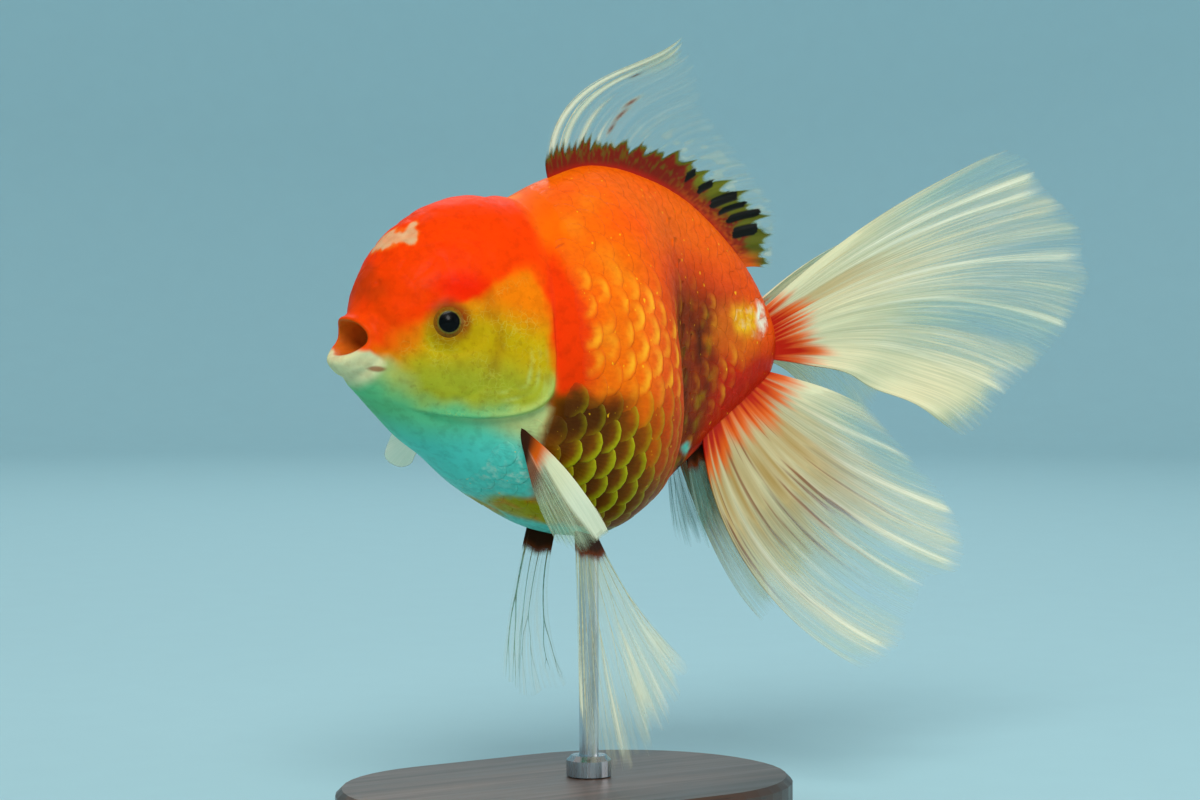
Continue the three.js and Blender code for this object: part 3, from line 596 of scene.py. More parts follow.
FINS = {
    "dorsal_fin": {**DORSAL, "kind": "dorsal", "side": LEFT, "seed": 3},
    "pectoral_fin_left": {
        **PECTORAL, "kind": "pectoral", "side": LEFT, "seed": 5, "pleated": [(0.36, 0.05), (0.5, 1)],
        "rise": [-38, -64, -79], "fall": [-64, -60, -60],
        "splay": [38, 38, 34], "flare": [24, 18, 8], "length": [32, 30, 23], "fray": 0,
    },
    "pectoral_fin_right": {
        **PECTORAL, "kind": "pectoral", "side": RIGHT, "seed": 6, "girth": 0.05,
        "pleated": [(0, 0)], "fray": 0, "ripple": 0.15, "rounding": 0.3,
        "rise": [-12, -14, -18], "fall": [-9, -16, -30],
        "splay": [74, 73, 70], "flare": [79, 74, 68], "length": [23, 31.5, 23],
    },
    "pelvic_fin_left": {
        **PELVIC, "kind": "pelvic", "side": LEFT, "seed": 7,
        "rise": [-89, -82, -62], "fall": [-90, -77, -40],
        "splay": [22, 16, 10], "flare": [14, 8, 0], "length": [52, 59, 44],
    },
    "pelvic_fin_right": {
        **PELVIC, "kind": "pelvic", "side": RIGHT, "seed": 8,
        "rays": 4, "parting": 0.34, "fray": 0.04, "tear": 0, "girth": 0.2,
        "rise": [-108, -114, -114], "fall": [-99, -84, -56],
        "splay": [13, 11, 8], "flare": [10, 8, 5], "length": [38, 42, 40],
    },
    "anal_fin_left": {**ANAL, "kind": "anal", "side": LEFT, "seed": 9},
    "anal_fin_right": {**ANAL, "kind": "anal", "side": RIGHT, "seed": 10},
    "tail_fin_upper_left": {
        **TAIL_UPPER, "kind": "tail", "side": LEFT, "seed": 11,
        "rise": [39, 28, 23, -6], "fall": [19, 7, -21, -38],
        "fray": 0.008, "ruffle": 1.8,
        "splay": [15, 22, 29, 28], "flare": [21, 25, 20, 26], "length": [90, 97, 88, 56],
    },
    "tail_fin_upper_right": {
        **TAIL_UPPER, "kind": "tail", "side": RIGHT, "seed": 12,
        "rise": [25, 16, 7, 0], "fall": [6, -5, -24, -48],
        "splay": [10, 12, 14, 16], "flare": [12, 14, 16, 14], "length": [78, 92, 86, 64],
    },
    "tail_fin_lower_left": {
        **TAIL_LOWER, "kind": "tail", "side": LEFT, "seed": 13,
        "rise": [-14, -41, -65, -86], "fall": [-24, -17, -20, -28],
        "splay": [29, 32, 42, 46], "flare": [11, 20, 28, 29], "length": [31, 64, 75, 73],
    },
    "tail_fin_lower_right": {
        **TAIL_LOWER, "kind": "tail", "side": RIGHT, "seed": 14,
        "rise": [-14, -34, -50, -62], "fall": [-30, -22, -27, -34],
        "splay": [12, 11, 12, 14], "flare": [2, 4, 6, 8], "length": [40, 60, 68, 70],
    },
}
# The dorsal band's height in millimetres at places across; its black spots as (place across, start
# and end in millimetres, half width across); its brown flecks as (place across, middle, reach).
SPIKES = [
    (0, 8), (0.1, 9.6), (0.3, 10.2), (0.4, 11), (0.465, 12), (0.53, 13.8), (0.586, 15.4),
    (0.66, 17), (0.75, 22), (0.8, 22), (0.87, 20), (1, 14),
]
SPOTS = [
    (0.585, 6.6, 10.9, 0.013), (0.648, 6.2, 11.9, 0.014), (0.717, 5.5, 15.1, 0.017),
    (0.756, 5.8, 15.5, 0.011), (0.795, 6, 17.6, 0.015), (0.848, 4.8, 13.8, 0.019),
]
FLECKS = [(0.128, 32.8, 2), (0.245, 21, 3), (0.257, 16, 3.4), (0.262, 11.5, 2)]
# Bright bundles of some fins, as (place across, half width across).
BUNDLES = {
    "pelvic_fin_left": [(0.03, 0.025), (0.19, 0.015), (0.49, 0.015), (0.68, 0.04), (0.76, 0.03), (0.9, 0.06)],
    "tail_fin_upper_left": [(0.17, 0.014), (0.225, 0.01), (0.46, 0.014), (0.64, 0.008), (0.815, 0.01)],
    "tail_fin_lower_left": [(0.2, 0.012), (0.34, 0.016), (0.52, 0.01), (0.62, 0.012), (0.86, 0.012)],
}
# The dorsal streamers, as (place across, half width across, where they fade in millimetres).
STREAMERS = [(0.042, 0.017, 70), (0.098, 0.014, 44), (0.165, 0.012, 27), (0.235, 0.008, 18)]
FIN_ROOT = -0.045  # a fin starts this share of its length inside the body
PLEAT = 0.22  # millimetres that the sheet folds between one ray and the next


def fan(fin, across, out):
    """Placed points on the middle of a fin's sheet; `out` is 0 at the base and 1 at the tips."""
    x, y, z = np.moveaxis(through(fin["root"], across), -1, 0)
    angles = ("rise", "fall", "splay", "flare")
    rise, fall, splay, flare = (np.radians(through(fin[name], across)) for name in angles)
    length = through(fin["length"], across)
    flick = np.radians(through(fin.get("flick", (0, 0)), across))
    pieces = 12
    for piece in range(pieces):
        t = out * (piece + 0.5) / pieces
        bent = 1 - (1 - t) ** fin["ease"]
        height = rise + (fall - rise) * bent + flick * t ** 4
        heading = splay + (flare - splay) * bent
        step = length * out / pieces
        x = x + step * np.cos(height) * np.cos(heading)
        y = y + step * np.cos(height) * np.sin(heading)
        z = z + step * np.sin(height)
    wave = fin["ripple"] * out * np.sin(2 * math.pi * fin["waves"] * across + 2.2 * out)
    return place(np.stack([x, fin["side"] * (y + wave), z], -1))


def sheet(fin, across, out):
    """Points on a fin's pleated sheet and the direction that it faces there."""
    small = 1e-3
    spots = fan(fin, across, out)
    way_across = fan(fin, across + small, out) - fan(fin, across - small, out)
    way_out = fan(fin, across, out + small) - fan(fin, across, out - small)
    facing = np.cross(way_across, way_out)
    facing /= np.maximum(np.linalg.norm(facing, axis=-1, keepdims=True), 1e-12)
    pleat = PLEAT * np.interp(across, *zip(*fin.get("pleated", [(0, 1), (1, 1)])))
    fold = pleat * smooth(out, 0.02, 0.5) * np.cos(2 * math.pi * fin["rays"] * across)
    flutter = np.stack([across * fin["rays"] / 3, out * 2.2], -1)
    fold = fold + 0.5 * smooth(out, 0.2, 1) * rough(flutter, 1, fin["seed"])
    ruffle = smooth(across, 0.66, 1) * smooth(out, 0.12, 0.45) * np.sin(13 * out + 4 * across)
    fold = fold + fin.get("ruffle", 0) * ruffle
    return spots + facing * fold[..., None], facing


def reach_of(fin, across):
    """How far out the sheet's edge lies, notched between rays and torn in places."""
    rays = across * fin["rays"]
    between = np.abs(np.cos(math.pi * rays))
    notch = fin["fray"] * (0.35 + 0.65 * hashed(np.floor(rays + 0.5)[..., None].astype(np.int64), fin["seed"]))
    tear = rough(rays[..., None], 2.6, fin["seed"] + 50)
    short = np.maximum(tear - 0.1, 0) * fin["tear"] * 1.6
    rounding = fin.get("rounding", 0) * np.abs(2 * across - 1) ** 2.4
    return 1 - notch * between ** 3 - short - rounding


def teeth(fin, across):
    """1 on a ray's middle, 0 halfway to the next ray."""
    return 1 - np.abs(np.cos(math.pi * fin["rays"] * across))


def tail_look(name, fin, across, out, colours):
    """Red at the root, then a milky web with bright and clear bundles of rays."""
    rays = across * fin["rays"]
    millimetres = out * through(fin["length"], across)
    streaks = np.stack([rays, out * 1.6], -1)
    bundle = rough(streaks, 1.9, fin["seed"] + 30)
    hair = rough(streaks, 0.45, fin["seed"] + 31)
    outer = smooth(out, 0.25, 0.8)
    tint = np.tile(np.asarray(colours.fin)[:3], (len(across), 1))
    bright = 0.35 * smooth(bundle, 0.2, 0.7) + 0.2 * smooth(hair, 0.3, 0.8)
    for at, half in BUNDLES.get(name, ()):
        bright = np.maximum(bright, hump(across - at - 0.02 * rough(out[:, None], 0.4, fin["seed"]), half))
    density = lerp(0.95, 0.34, smooth(out, 0.2, 0.8)) + 0.1 * hair
    density = density + 0.25 * smooth(across, 0.14, 0.02) * smooth(out, 0.9, 0.6)
    density = density + outer * (0.5 * bright - 0.22 * smooth(bundle, 0.05, -0.6))
    tint = paint(tint, colours.thin, outer * smooth(bundle, 0.1, -0.5) * 0.8)
    tint = paint(tint, colours.ray, bright * smooth(out, 0.15, 0.5))
    red_end = 6.5 + 4.5 * hair + 2.5 * bundle
    if name == "tail_fin_upper_left":
        tan = smooth(across, 0.02, 0.12) * smooth(across, 0.5, 0.3) * smooth(out, 0.6, 0.15) * smooth(hair, 0, 0.6)
        tint = paint(tint, colours.tan, 0.6 * tan)
        open_water = smooth(across, 0.3, 0.42) * smooth(across, 0.66, 0.58) * smooth(out, 0.35, 0.7)
        density = density - 0.16 * open_water
        fold = smooth(across, 0.7, 0.86) * smooth(out, 1.0, 0.8)
        density = np.maximum(density, fold * (0.93 + 0.07 * hair))
        tint = paint(tint, colours.fold, fold * (0.85 + 0.15 * hair))
        red_end = red_end + 3 * smooth(across, 0.6, 0.95)
    if name.startswith("tail_fin_lower"):
        tan = smooth(out, 0.85, 0.15) * smooth(across, 0.1, 0.4) * (0.66 + 0.34 * hair)
        tint = paint(tint, colours.tan, tan)
        density = density + 0.15 * smooth(out, 0.7, 0.2) * smooth(across, 0.2, 0.5)
        veins = rough(np.stack([rays + 0.6 * out, 0.5 * out], -1), 0.2, fin["seed"] + 33)
        where = smooth(across, 0.3, 0.5) * smooth(out, 0.85, 0.5)
        tint = paint(tint, colours.brown_patch_and_shade, 0.75 * smooth(veins, 0.4, 0.75) * where)
        red_end = red_end * lerp(0.7, 1.1, across)
    tint = paint(tint, colours.ember, smooth(millimetres, red_end + 6, red_end - 2) * 0.95)
    tint = paint(tint, colours.root, smooth(millimetres, red_end + 0.5, red_end - 7))
    density = np.maximum(density, smooth(millimetres, red_end + 5, red_end - 3))
    return tint, density, 6.5


def dorsal_look(name, fin, across, out, colours):
    """A dark red band of spikes with olive ends, black spots to the rear, and a clear sheet over it."""
    rays = across * fin["rays"]
    millimetres = out * through(fin["length"], across)
    fine = 1 - np.abs(np.cos(2 * math.pi * rays))
    on_ray = lerp(fine, teeth(fin, across), smooth(across, 0.16, 0.34))
    chance = hashed(np.floor(2 * rays)[:, None].astype(np.int64), fin["seed"] + 20)
    hair = rough(np.stack([rays, out * 3], -1), 0.3, fin["seed"] + 31)
    nick = rough(rays[:, None], 0.27, fin["seed"] + 36)
    length = np.interp(across, *zip(*SPIKES))
    spike = length * (0.7 + 0.24 * on_ray ** 1.2 + 0.1 * nick) * (0.9 + 0.2 * chance)
    rear = smooth(across, 0.5, 0.72)
    wisp = smooth(hair, 0.0, 0.6) * smooth(millimetres, 32, 12) * smooth(across, 0.28, 0.5)
    density = 0.05 + 0.26 * wisp + (0.6 + 0.25 * hair) * smooth(across, 0.22, 0.06) * smooth(out, 0.5, 0.85)
    tint = np.tile(np.asarray(colours.fin)[:3], (len(across), 1))
    for at, half, fade in STREAMERS:
        wide = half * lerp(1, 1.9, smooth(out, 0.55, 0.95))
        band = hump(across - at, wide) * smooth(millimetres, fade, fade - 14) * smooth(millimetres, 5, 9)
        tint = paint(tint, colours.ray, 0.7 * band)
        density = np.maximum(density, 0.85 * band)
    density = density * smooth(across, 0.0, 0.03 * smooth(out, 0.6, 0.2) + 0.001)
    leafy = smooth(millimetres, spike + 0.4, spike - 0.6 - 1.4 * rear)
    tint = paint(tint, colours.olive, smooth(millimetres, spike + 1.0, spike))
    tips = smooth(millimetres, spike - 0.4, spike - 2.2) * rear
    tint = paint(tint, colours.moss, (1 - tips) * rear * smooth(millimetres, spike + 1, spike))
    dark_end = spike * lerp(0.86, 0.5, rear)
    tint = paint(tint, colours.dark_fin, smooth(millimetres, dark_end + 0.6 + rear, dark_end - 0.6 - 2 * rear))
    thread = rough(np.stack([rays, 0.14 * millimetres], -1), 0.13, fin["seed"] + 37)
    streak = smooth(thread, 0.0, 0.8) * smooth(millimetres, 1.5, 5)
    tint = paint(tint, colours.olive, 0.6 * streak * smooth(millimetres, spike + 1, spike))
    tint = paint(tint, colours.ember, rear * smooth(millimetres, 7, 2) * (0.3 + 0.3 * thread))
    tint = paint(tint, colours.root, smooth(millimetres, 3.4, 0.6) * 0.9)
    tint = paint(tint, colours.ember, smooth(across, 0.9, 0.97) * smooth(out, 0.8, 0.3) * 0.7)
    density = np.maximum(density, leafy)
    for at, start, end, half in SPOTS:
        slant = 1.1 * (across - at) / half
        along = (millimetres - start + slant + 0.5 * thread) / (end - start)
        width = half * np.sqrt(np.clip(1 - (2 * along - 1) ** 10, 0, 1))
        black = smooth(np.abs(across - at), width + 0.003, width - 0.002) * (along > 0) * (along < 1)
        tint = paint(tint, colours.spot, black)
        density = np.maximum(density, black)
    for at, middle, reach in FLECKS:
        fleck = hump(millimetres - middle, reach) * hump(across - at, 0.009)
        tint = paint(tint, colours.brown_patch_and_shade, fleck)
        density = np.maximum(density, fleck * 0.9)
    return tint, density, 2.6


def pectoral_look(name, fin, across, out, colours):
    """A thick cream front edge with a thin sheet behind it, dark at the root."""
    millimetres = out * through(fin["length"], across)
    hair = rough(np.stack([across * fin["rays"], out * 2], -1), 0.5, fin["seed"] + 31)
    border = lerp(0.22, 0.34, np.sin(math.pi * out))
    lead = smooth(across, border + 0.05, border - 0.04)
    tint = np.tile(np.asarray(colours.fin)[:3], (len(across), 1))
    if fin["side"] == LEFT:
        density = np.maximum(lerp(0.62, 0.4, out) + 0.08 * hair, lead)
        tint = paint(tint, colours.thin, (1 - lead) * 0.6)
        tint = paint(tint, colours.fold, lead)
        tint = paint(tint, colours.ray, lead * smooth(millimetres, 12, 22) * 0.6)
        tint = paint(tint, colours.brown_patch_and_shade, smooth(across, 0.42, 0.55) * smooth(millimetres, 13, 7) * 0.9)
        tint = paint(tint, colours.ember, smooth(millimetres, 10.5 + hair, 6) * smooth(across, 0.6, 0.4))
        tint = paint(tint, colours.shade, smooth(millimetres, 7 - 3 * across, 2.5))
        density = np.maximum(density, smooth(millimetres, 13, 8))
        return tint, density, lerp(4, 0.8, lead)
    tint = paint(tint, colours.white, smooth(out, 0.0, 0.3))
    return tint, np.full(len(across), 1.0), 0.3


def trailing_look(name, fin, across, out, colours):
    """A short dark root and a nearly clear sheet."""
    millimetres = out * through(fin["length"], across)
    streaks = np.stack([across * fin["rays"], out * 1.6], -1)
    bundle = rough(streaks, 1.1, fin["seed"] + 30)
    tint = np.tile(np.asarray(colours.fin)[:3], (len(across), 1))
    density = 0.07 + 0.04 * bundle
    # Partly painted highlight: the near belly fin's bright bundles are cream rays with their whitish highlights painted
    # in.
    if name == "pelvic_fin_left":
        bright = 0
        for at, half in BUNDLES[name]:
            bright = np.maximum(bright, hump(across - at, half * lerp(0.6, 1.3, out)) * smooth(out, 0.25, 0.75))
        hair = rough(streaks, 0.3, fin["seed"] + 31)
        density = 0.13 + 0.06 * bundle + (0.6 + 0.3 * hair) * bright + 0.3 * smooth(out, 0.4, 0.1)
        tint = paint(tint, colours.ray, bright)
    elif fin["kind"] == "anal":
        tint = paint(tint, colours.murk, np.ones(len(across)))
        density = 0.4 + 0.2 * bundle
    base = np.where(fin["kind"] == "anal", 3.5, 6.4) + 0.9 * bundle
    tint = paint(tint, colours.brown_patch_and_shade, smooth(millimetres, base + 1.6, base - 0.4))
    tint = paint(tint, colours.shade, smooth(millimetres, base - 0.2, base - 2.2))
    density = np.maximum(density, smooth(millimetres, base + 1.4, base - 0.6))
    return tint, density, 7.0


FIN_LOOKS = {
    "tail": tail_look, "dorsal": dorsal_look, "pectoral": pectoral_look,
    "pelvic": trailing_look, "anal": trailing_look,
}


def fin_look(name, fin, across, out, colours):
    """Colour and density of a fin's sheet, which thins out to nothing at its tips."""
    tint, density, feather = FIN_LOOKS[fin["kind"]](name, fin, across, out, colours)
    hair = rough(np.stack([across * fin["rays"], out], -1), 0.35, fin["seed"] + 35)
    left = (reach_of(fin, across) - out) * through(fin["length"], across)
    density = density * smooth(left, -0.2, feather * (1 + 0.7 * hair))
    return np.concatenate([np.clip(tint, 0, 1), np.clip(density, 0, 1)[:, None]], 1)


def ray_look(name, fin, ray, out, colours):
    """Colour of one ray along its length: the sheet's own colour, somewhat brighter."""
    across = np.full(len(out), (ray + 0.5) / fin["rays"])
    tint = FIN_LOOKS[fin["kind"]](name, fin, across, out, colours)[0]
    millimetres = out * through(fin["length"], across)
    if fin["kind"] == "tail":
        tint = paint(tint, colours.ray, 0.15 * smooth(millimetres, 16, 34))
    elif name == "pelvic_fin_left":
        tint = paint(tint, colours.ray, 0.2 * smooth(millimetres, 12, 30))
    elif fin["kind"] in ("pelvic", "anal"):
        tint = paint(tint, colours.murk, 0.95 * smooth(millimetres, 6, 12))
    return np.concatenate([np.clip(tint, 0, 1), np.ones((len(out), 1))], 1)


def ray_limit(fin, across):
    """How far out a ray shows: the dorsal's rays end inside its band, apart from the streamers."""
    if fin["kind"] != "dorsal" or across < STREAMERS[1][0] + 0.02:
        return 1.0
    return 0.7 * np.interp(across, *zip(*SPIKES)) / float(through(fin["length"], across))


def strands(fin):
    """Each ray as a trunk that parts twice: (ray, places across, places out, radii) of every piece."""
    width = 1 / fin["rays"]
    found = []
    for ray in range(fin["rays"]):
        middle = (ray + 0.5) * width
        chance = hashed(np.array([[ray, number] for number in range(9)]), fin["seed"] + 60)
        first = fin.get("parting", 0.2) + 0.24 * chance[0]
        second = lerp(first, 1, 0.36 + 0.2 * chance[1])
        bold = 0.55 + 0.9 * chance[2] ** 4
        limit = ray_limit(fin, middle)
        sway = (chance[3] - 0.5) * 0.5 * width
        for twig in range(4):
            pair = (twig // 2 - 0.5) * (0.34 + 0.2 * chance[4]) * width
            spread = width * min(1, (1 - second) / 0.4)
            leaf = pair + (twig % 2 - 0.5) * 0.26 * spread + (chance[5 + twig] - 0.5) * 0.2 * spread
            ends = [(second, 1.0, pair, leaf, 0.12, 0.025, 13)]
            if twig % 2 == 0:
                ends.append((first, second, 0, pair, 0.2, 0.12, 9))
            if twig == 0:
                ends.append((FIN_ROOT, first, 0, 0, 0.34, 0.2, 9))
            for start, end, shift_from, shift_to, thick, thin, count in ends:
                if end == 1.0:
                    edge = float(reach_of(fin, np.array([middle + leaf]))[0])
                    end = edge * (0.86 + 0.16 * chance[5 + twig])
                if start >= limit:
                    continue
                end = min(end, limit)
                t = np.linspace(0, 1, count)
                out = lerp(start, end, t)
                across = middle + lerp(shift_from, shift_to, smooth(t, 0, 0.8)) + sway * smooth(out, 0.2, 1)
                scale = fin["girth"] / 0.3 * bold
                found.append((ray, across, out, scale * lerp(thick, thin, t)))
    return found


# ---------------------------------------------------------------- meshes


def grid(rows, columns):
    """Quads of a grid whose columns close on themselves, and each corner's place on a unit square."""
    row, column = np.meshgrid(np.arange(rows - 1), np.arange(columns), indexing="ij")
    steps = np.array([(0, 0), (1, 0), (1, 1), (0, 1)])
    row = row.ravel()[:, None] + steps[:, 0]
    column = column.ravel()[:, None] + steps[:, 1]
    return row * columns + column % columns, np.stack([column / columns, row / (rows - 1)], -1)


def new_object(name, points, faces, material=None, edges=()):
    """A smooth-shaded mesh object from points in millimetres."""
    mesh = bpy.data.meshes.new(name)
    mesh.from_pydata((np.asarray(points) * MM).tolist(), edges, [list(map(int, face)) for face in faces])
    mesh.validate()
    if len(mesh.polygons):
        mesh.shade_smooth()
    if material:
        mesh.materials.append(material)
    made = bpy.data.objects.new(name, mesh)
    bpy.context.scene.collection.objects.link(made)
    return made


def store(mesh, name, kind, values):
    """Writes an attribute of one value per point."""
    field = "color" if kind == "FLOAT_COLOR" else "value" if kind == "FLOAT" else "vector"
    layer = mesh.attributes.new(name, kind, "POINT")
    layer.data.foreach_set(field, np.asarray(values, np.float32).ravel())


def store_map(mesh, name, corners):
    """Writes a UV map from a place for each face corner."""
    layer = mesh.uv_layers.new(name=name)
    layer.uv.foreach_set("vector", np.asarray(corners, np.float32).ravel())


def opaque(tint):
    return np.concatenate([tint, np.ones((len(tint), 1))], 1)


def finish_piece(piece, slot, *nodes):
    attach(piece, BODY)
    if nodes:
        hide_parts(*nodes)
    return piece


# ---------------------------------------------------------------- geometry nodes


class Wiring:
    """Adds nodes to a tree and feeds their inputs."""

    def __init__(self, tree):
        self.tree = tree

    def node(self, kind, settings=None, **inputs):
        """A node with its inputs fed; an underscore in a keyword stands for a space."""
        made = self.tree.nodes.new(kind)
        for key, value in (settings or {}).items():
            setattr(made, key, value)
        for key, value in inputs.items():
            wanted = key.replace("_", " ")
            socket = next(s for s in made.inputs if s.enabled and s.name == wanted)
            self.feed(socket, value)
        return made

    def feed(self, socket, value):
        if isinstance(value, bpy.types.Node):
            value = next(s for s in value.outputs if s.enabled)
        if isinstance(value, bpy.types.NodeSocket):
            self.tree.links.new(value, socket)
        else:
            socket.default_value = value

    def vector(self, operation, first, second):
        made = self.node("ShaderNodeVectorMath", {"operation": operation})
        self.feed(made.inputs[0], first)
        self.feed(made.inputs["Scale" if operation == "SCALE" else 1], second)
        return made.outputs[0]

    def number(self, operation, first, second=0.0, clamp=False):
        made = self.node("ShaderNodeMath", {"operation": operation, "use_clamp": clamp})
        self.feed(made.inputs[0], first)
        self.feed(made.inputs[1], second)
        return made.outputs[0]


class Tree(Wiring):
    """A geometry node tree with named inputs."""

    def __init__(self, name, inputs):
        super().__init__(bpy.data.node_groups.new(name, "GeometryNodeTree"))
        self.names = {}
        interface = self.tree.interface
        interface.new_socket(name="Geometry", in_out="OUTPUT", socket_type="NodeSocketGeometry")
        interface.new_socket(name="Geometry", in_out="INPUT", socket_type="NodeSocketGeometry")
        for label, kind in inputs.items():
            socket = interface.new_socket(name=label, in_out="INPUT", socket_type=f"NodeSocket{kind}")
            self.names[label] = socket.identifier
        self.inputs = self.tree.nodes.new("NodeGroupInput").outputs
        self.end = self.tree.nodes.new("NodeGroupOutput")

    def attribute(self, name, kind):
        return self.node("GeometryNodeInputNamedAttribute", {"data_type": kind}, Name=name)

    def finish(self, geometry, material):
        """Ends the tree with its plain geometry in its material."""
        whole = self.node("GeometryNodeRealizeInstances", Geometry=geometry)
        self.feed(self.end.inputs[0], self.node("GeometryNodeSetMaterial", Geometry=whole, Material=material))

    def applied(self, source, name, values):
        """Runs the tree on an object and returns the plain result; the source is removed."""
        modifier = source.modifiers.new(self.tree.name, "NODES")
        modifier.node_group = self.tree
        for label, value in values.items():
            modifier[self.names[label]] = value
        graph = bpy.context.evaluated_depsgraph_get()
        mesh = bpy.data.meshes.new_from_object(source.evaluated_get(graph))
        mesh.name = name
        source.modifiers.remove(modifier)
        bpy.data.objects.remove(source)
        if not len(mesh.polygons):
            raise RuntimeError(f"{name} came out of its nodes empty")
        made = bpy.data.objects.new(name, mesh)
        bpy.context.scene.collection.objects.link(made)
        return made


def scale_tree():
    """Sets one scale on every seat and lays it along the skin."""
    made = Tree("Scale Coat", {
        "Scale Shape": "Object", "Skin": "Object", "Depth": "Float", "Variation": "Float",
        "Patch Size": "Float", "Seed": "Int", "Material": "Material",
    })
    inputs = made.inputs
    shape = made.node("GeometryNodeObjectInfo", Object=inputs["Scale Shape"]).outputs["Geometry"]
    skin = made.node("GeometryNodeObjectInfo", Object=inputs["Skin"]).outputs["Geometry"]
    turn = made.node(
        "FunctionNodeAxesToRotation",
        Primary_Axis=made.attribute("Facing", "FLOAT_VECTOR"),
        Secondary_Axis=made.attribute("Lie", "FLOAT_VECTOR"),
    )
    smallest = made.number("SUBTRACT", 1.0, inputs["Variation"])
    chance = made.node("FunctionNodeRandomValue", Min=smallest, Max=1.0, Seed=inputs["Seed"])
    seats = made.node(
        "GeometryNodeInstanceOnPoints",
        Points=inputs["Geometry"], Instance=shape, Rotation=turn,
        Scale=made.vector("SCALE", made.attribute("Size", "FLOAT_VECTOR"), chance),
    )
    loose = made.node("GeometryNodeRealizeInstances", Geometry=seats)
    nearest = made.node("GeometryNodeProximity", {"target_element": "FACES"})
    made.feed(nearest.inputs[0], skin)
    facing = made.node("GeometryNodeSampleNearestSurface", {"data_type": "FLOAT_VECTOR"}, Mesh=skin)
    made.feed(next(s for s in facing.inputs if s.enabled and s.name == "Value"), made.node("GeometryNodeInputNormal"))
    lift = made.number("MULTIPLY", made.attribute("Lift", "FLOAT"), made.attribute("Rise", "FLOAT"))
    height = made.number("MULTIPLY", lift, inputs["Depth"])
    rise = made.vector("SCALE", facing, height)
    laid = made.node(
        "GeometryNodeSetPosition", Geometry=loose,
        Position=made.vector("ADD", nearest.outputs["Position"], rise),
    )
    patch = made.vector("SCALE", made.attribute("Patch", "FLOAT_VECTOR"), inputs["Patch Size"])
    below = made.node(
        "GeometryNodeSampleNearestSurface", {"data_type": "FLOAT_COLOR"},
        Mesh=skin, Value=made.attribute(TINT, "FLOAT_COLOR"),
    )
    own_share = made.node("ShaderNodeSeparateXYZ", Vector=made.attribute(MARKS, "FLOAT_VECTOR")).outputs[0]
    blend = made.node("ShaderNodeMix", {"data_type": "RGBA"})
    own = made.attribute(TINT, "FLOAT_COLOR")
    for index, value in ((0, own_share), (6, below), (7, own)):
        made.feed(blend.inputs[index], value)
    tinted = made.node(
        "GeometryNodeStoreNamedAttribute", {"data_type": "FLOAT_COLOR", "domain": "POINT"},
        Geometry=laid, Name=TINT, Value=blend.outputs[2],
    )
    mapped = made.node(
        "GeometryNodeStoreNamedAttribute", {"data_type": "FLOAT2", "domain": "CORNER"},
        Geometry=tinted, Name=BAKE_MAP,
        Value=made.vector("ADD", made.attribute("Root", "FLOAT_VECTOR"), patch),
    )
    made.finish(made.node("GeometryNodeSetShadeSmooth", Geometry=mapped), inputs["Material"])
    return made


def ray_tree():
    """Turns lines into tapering round rays."""
    made = Tree("Fin Rays", {"Sides": "Int", "Thickness": "Float", "Material": "Material"})
    inputs = made.inputs
    line = made.node("GeometryNodeMeshToCurve", Mesh=inputs["Geometry"])
    profile = made.node("GeometryNodeCurvePrimitiveCircle", Resolution=inputs["Sides"], Radius=MM)
    girth = made.number("MULTIPLY", made.attribute("Girth", "FLOAT"), inputs["Thickness"])
    tube = made.node("GeometryNodeCurveToMesh", Curve=line, Profile_Curve=profile, Scale=girth, Fill_Caps=True)
    made.finish(made.node("GeometryNodeSetShadeSmooth", Geometry=tube), inputs["Material"])
    return made


# ---------------------------------------------------------------- finishes


class Finish(Wiring):
    """A material on one Principled shader; keywords set its own sockets."""

    def __init__(self, name, **sockets):
        self.material = bpy.data.materials.new(name)
        self.material.use_nodes = True
        super().__init__(self.material.node_tree)
        self.shader = self.tree.nodes["Principled BSDF"]
        for key, value in sockets.items():
            self.shader.inputs[key.replace("_", " ")].default_value = value

    def attribute(self, name):
        return self.node("ShaderNodeAttribute", {"attribute_name": name})

    def places(self, scale=(1, 1, 1)):
        """Object coordinates in metres, stretched by a scale."""
        spots = self.node("ShaderNodeTexCoord").outputs["Object"]
        return self.node("ShaderNodeMapping", Vector=spots, Scale=scale).outputs[0]

    def axes(self, vector):
        return self.node("ShaderNodeSeparateXYZ", Vector=vector).outputs

    def mix(self, share, first, second, blend="MIX"):
        made = self.node("ShaderNodeMix", {"data_type": "RGBA", "blend_type": blend})
        for index, value in ((0, share), (6, first), (7, second)):
            self.feed(made.inputs[index], value)
        return made.outputs[2]

    def noise(self, places, scale, detail=3.0, roughness=0.55, distortion=0.0):
        made = self.node(
            "ShaderNodeTexNoise", Vector=places, Scale=scale, Detail=detail,
            Roughness=roughness, Distortion=distortion,
        )
        return made.outputs[0]

    def cells(self, places, scale, feature="DISTANCE_TO_EDGE"):
        made = self.node("ShaderNodeTexVoronoi", {"feature": feature}, Vector=places, Scale=scale)
        return made.outputs["Distance"]

    def fit(self, value, low, high, to_low=0.0, to_high=1.0):
        """Eases a value from one range to another, held at both ends."""
        made = self.node("ShaderNodeMapRange", {"interpolation_type": "SMOOTHSTEP"})
        for index, number in enumerate((value, low, high, to_low, to_high)):
            self.feed(made.inputs[index], number)
        return made.outputs[0]

    def bump(self, height, strength, distance):
        """Adds a relief on top of those already fed to the shader's normal."""
        made = self.node("ShaderNodeBump", Height=height, Strength=strength, Distance=distance)
        below = self.shader.inputs["Normal"].links
        if below:
            self.feed(made.inputs["Normal"], below[0].from_socket)
        self.feed(self.shader.inputs["Normal"], made)

    def set(self, **sockets):
        for key, value in sockets.items():
            self.feed(self.shader.inputs[key.replace("_", " ")], value)


def rgba(colour):
    return (*colour[:3], 1.0)


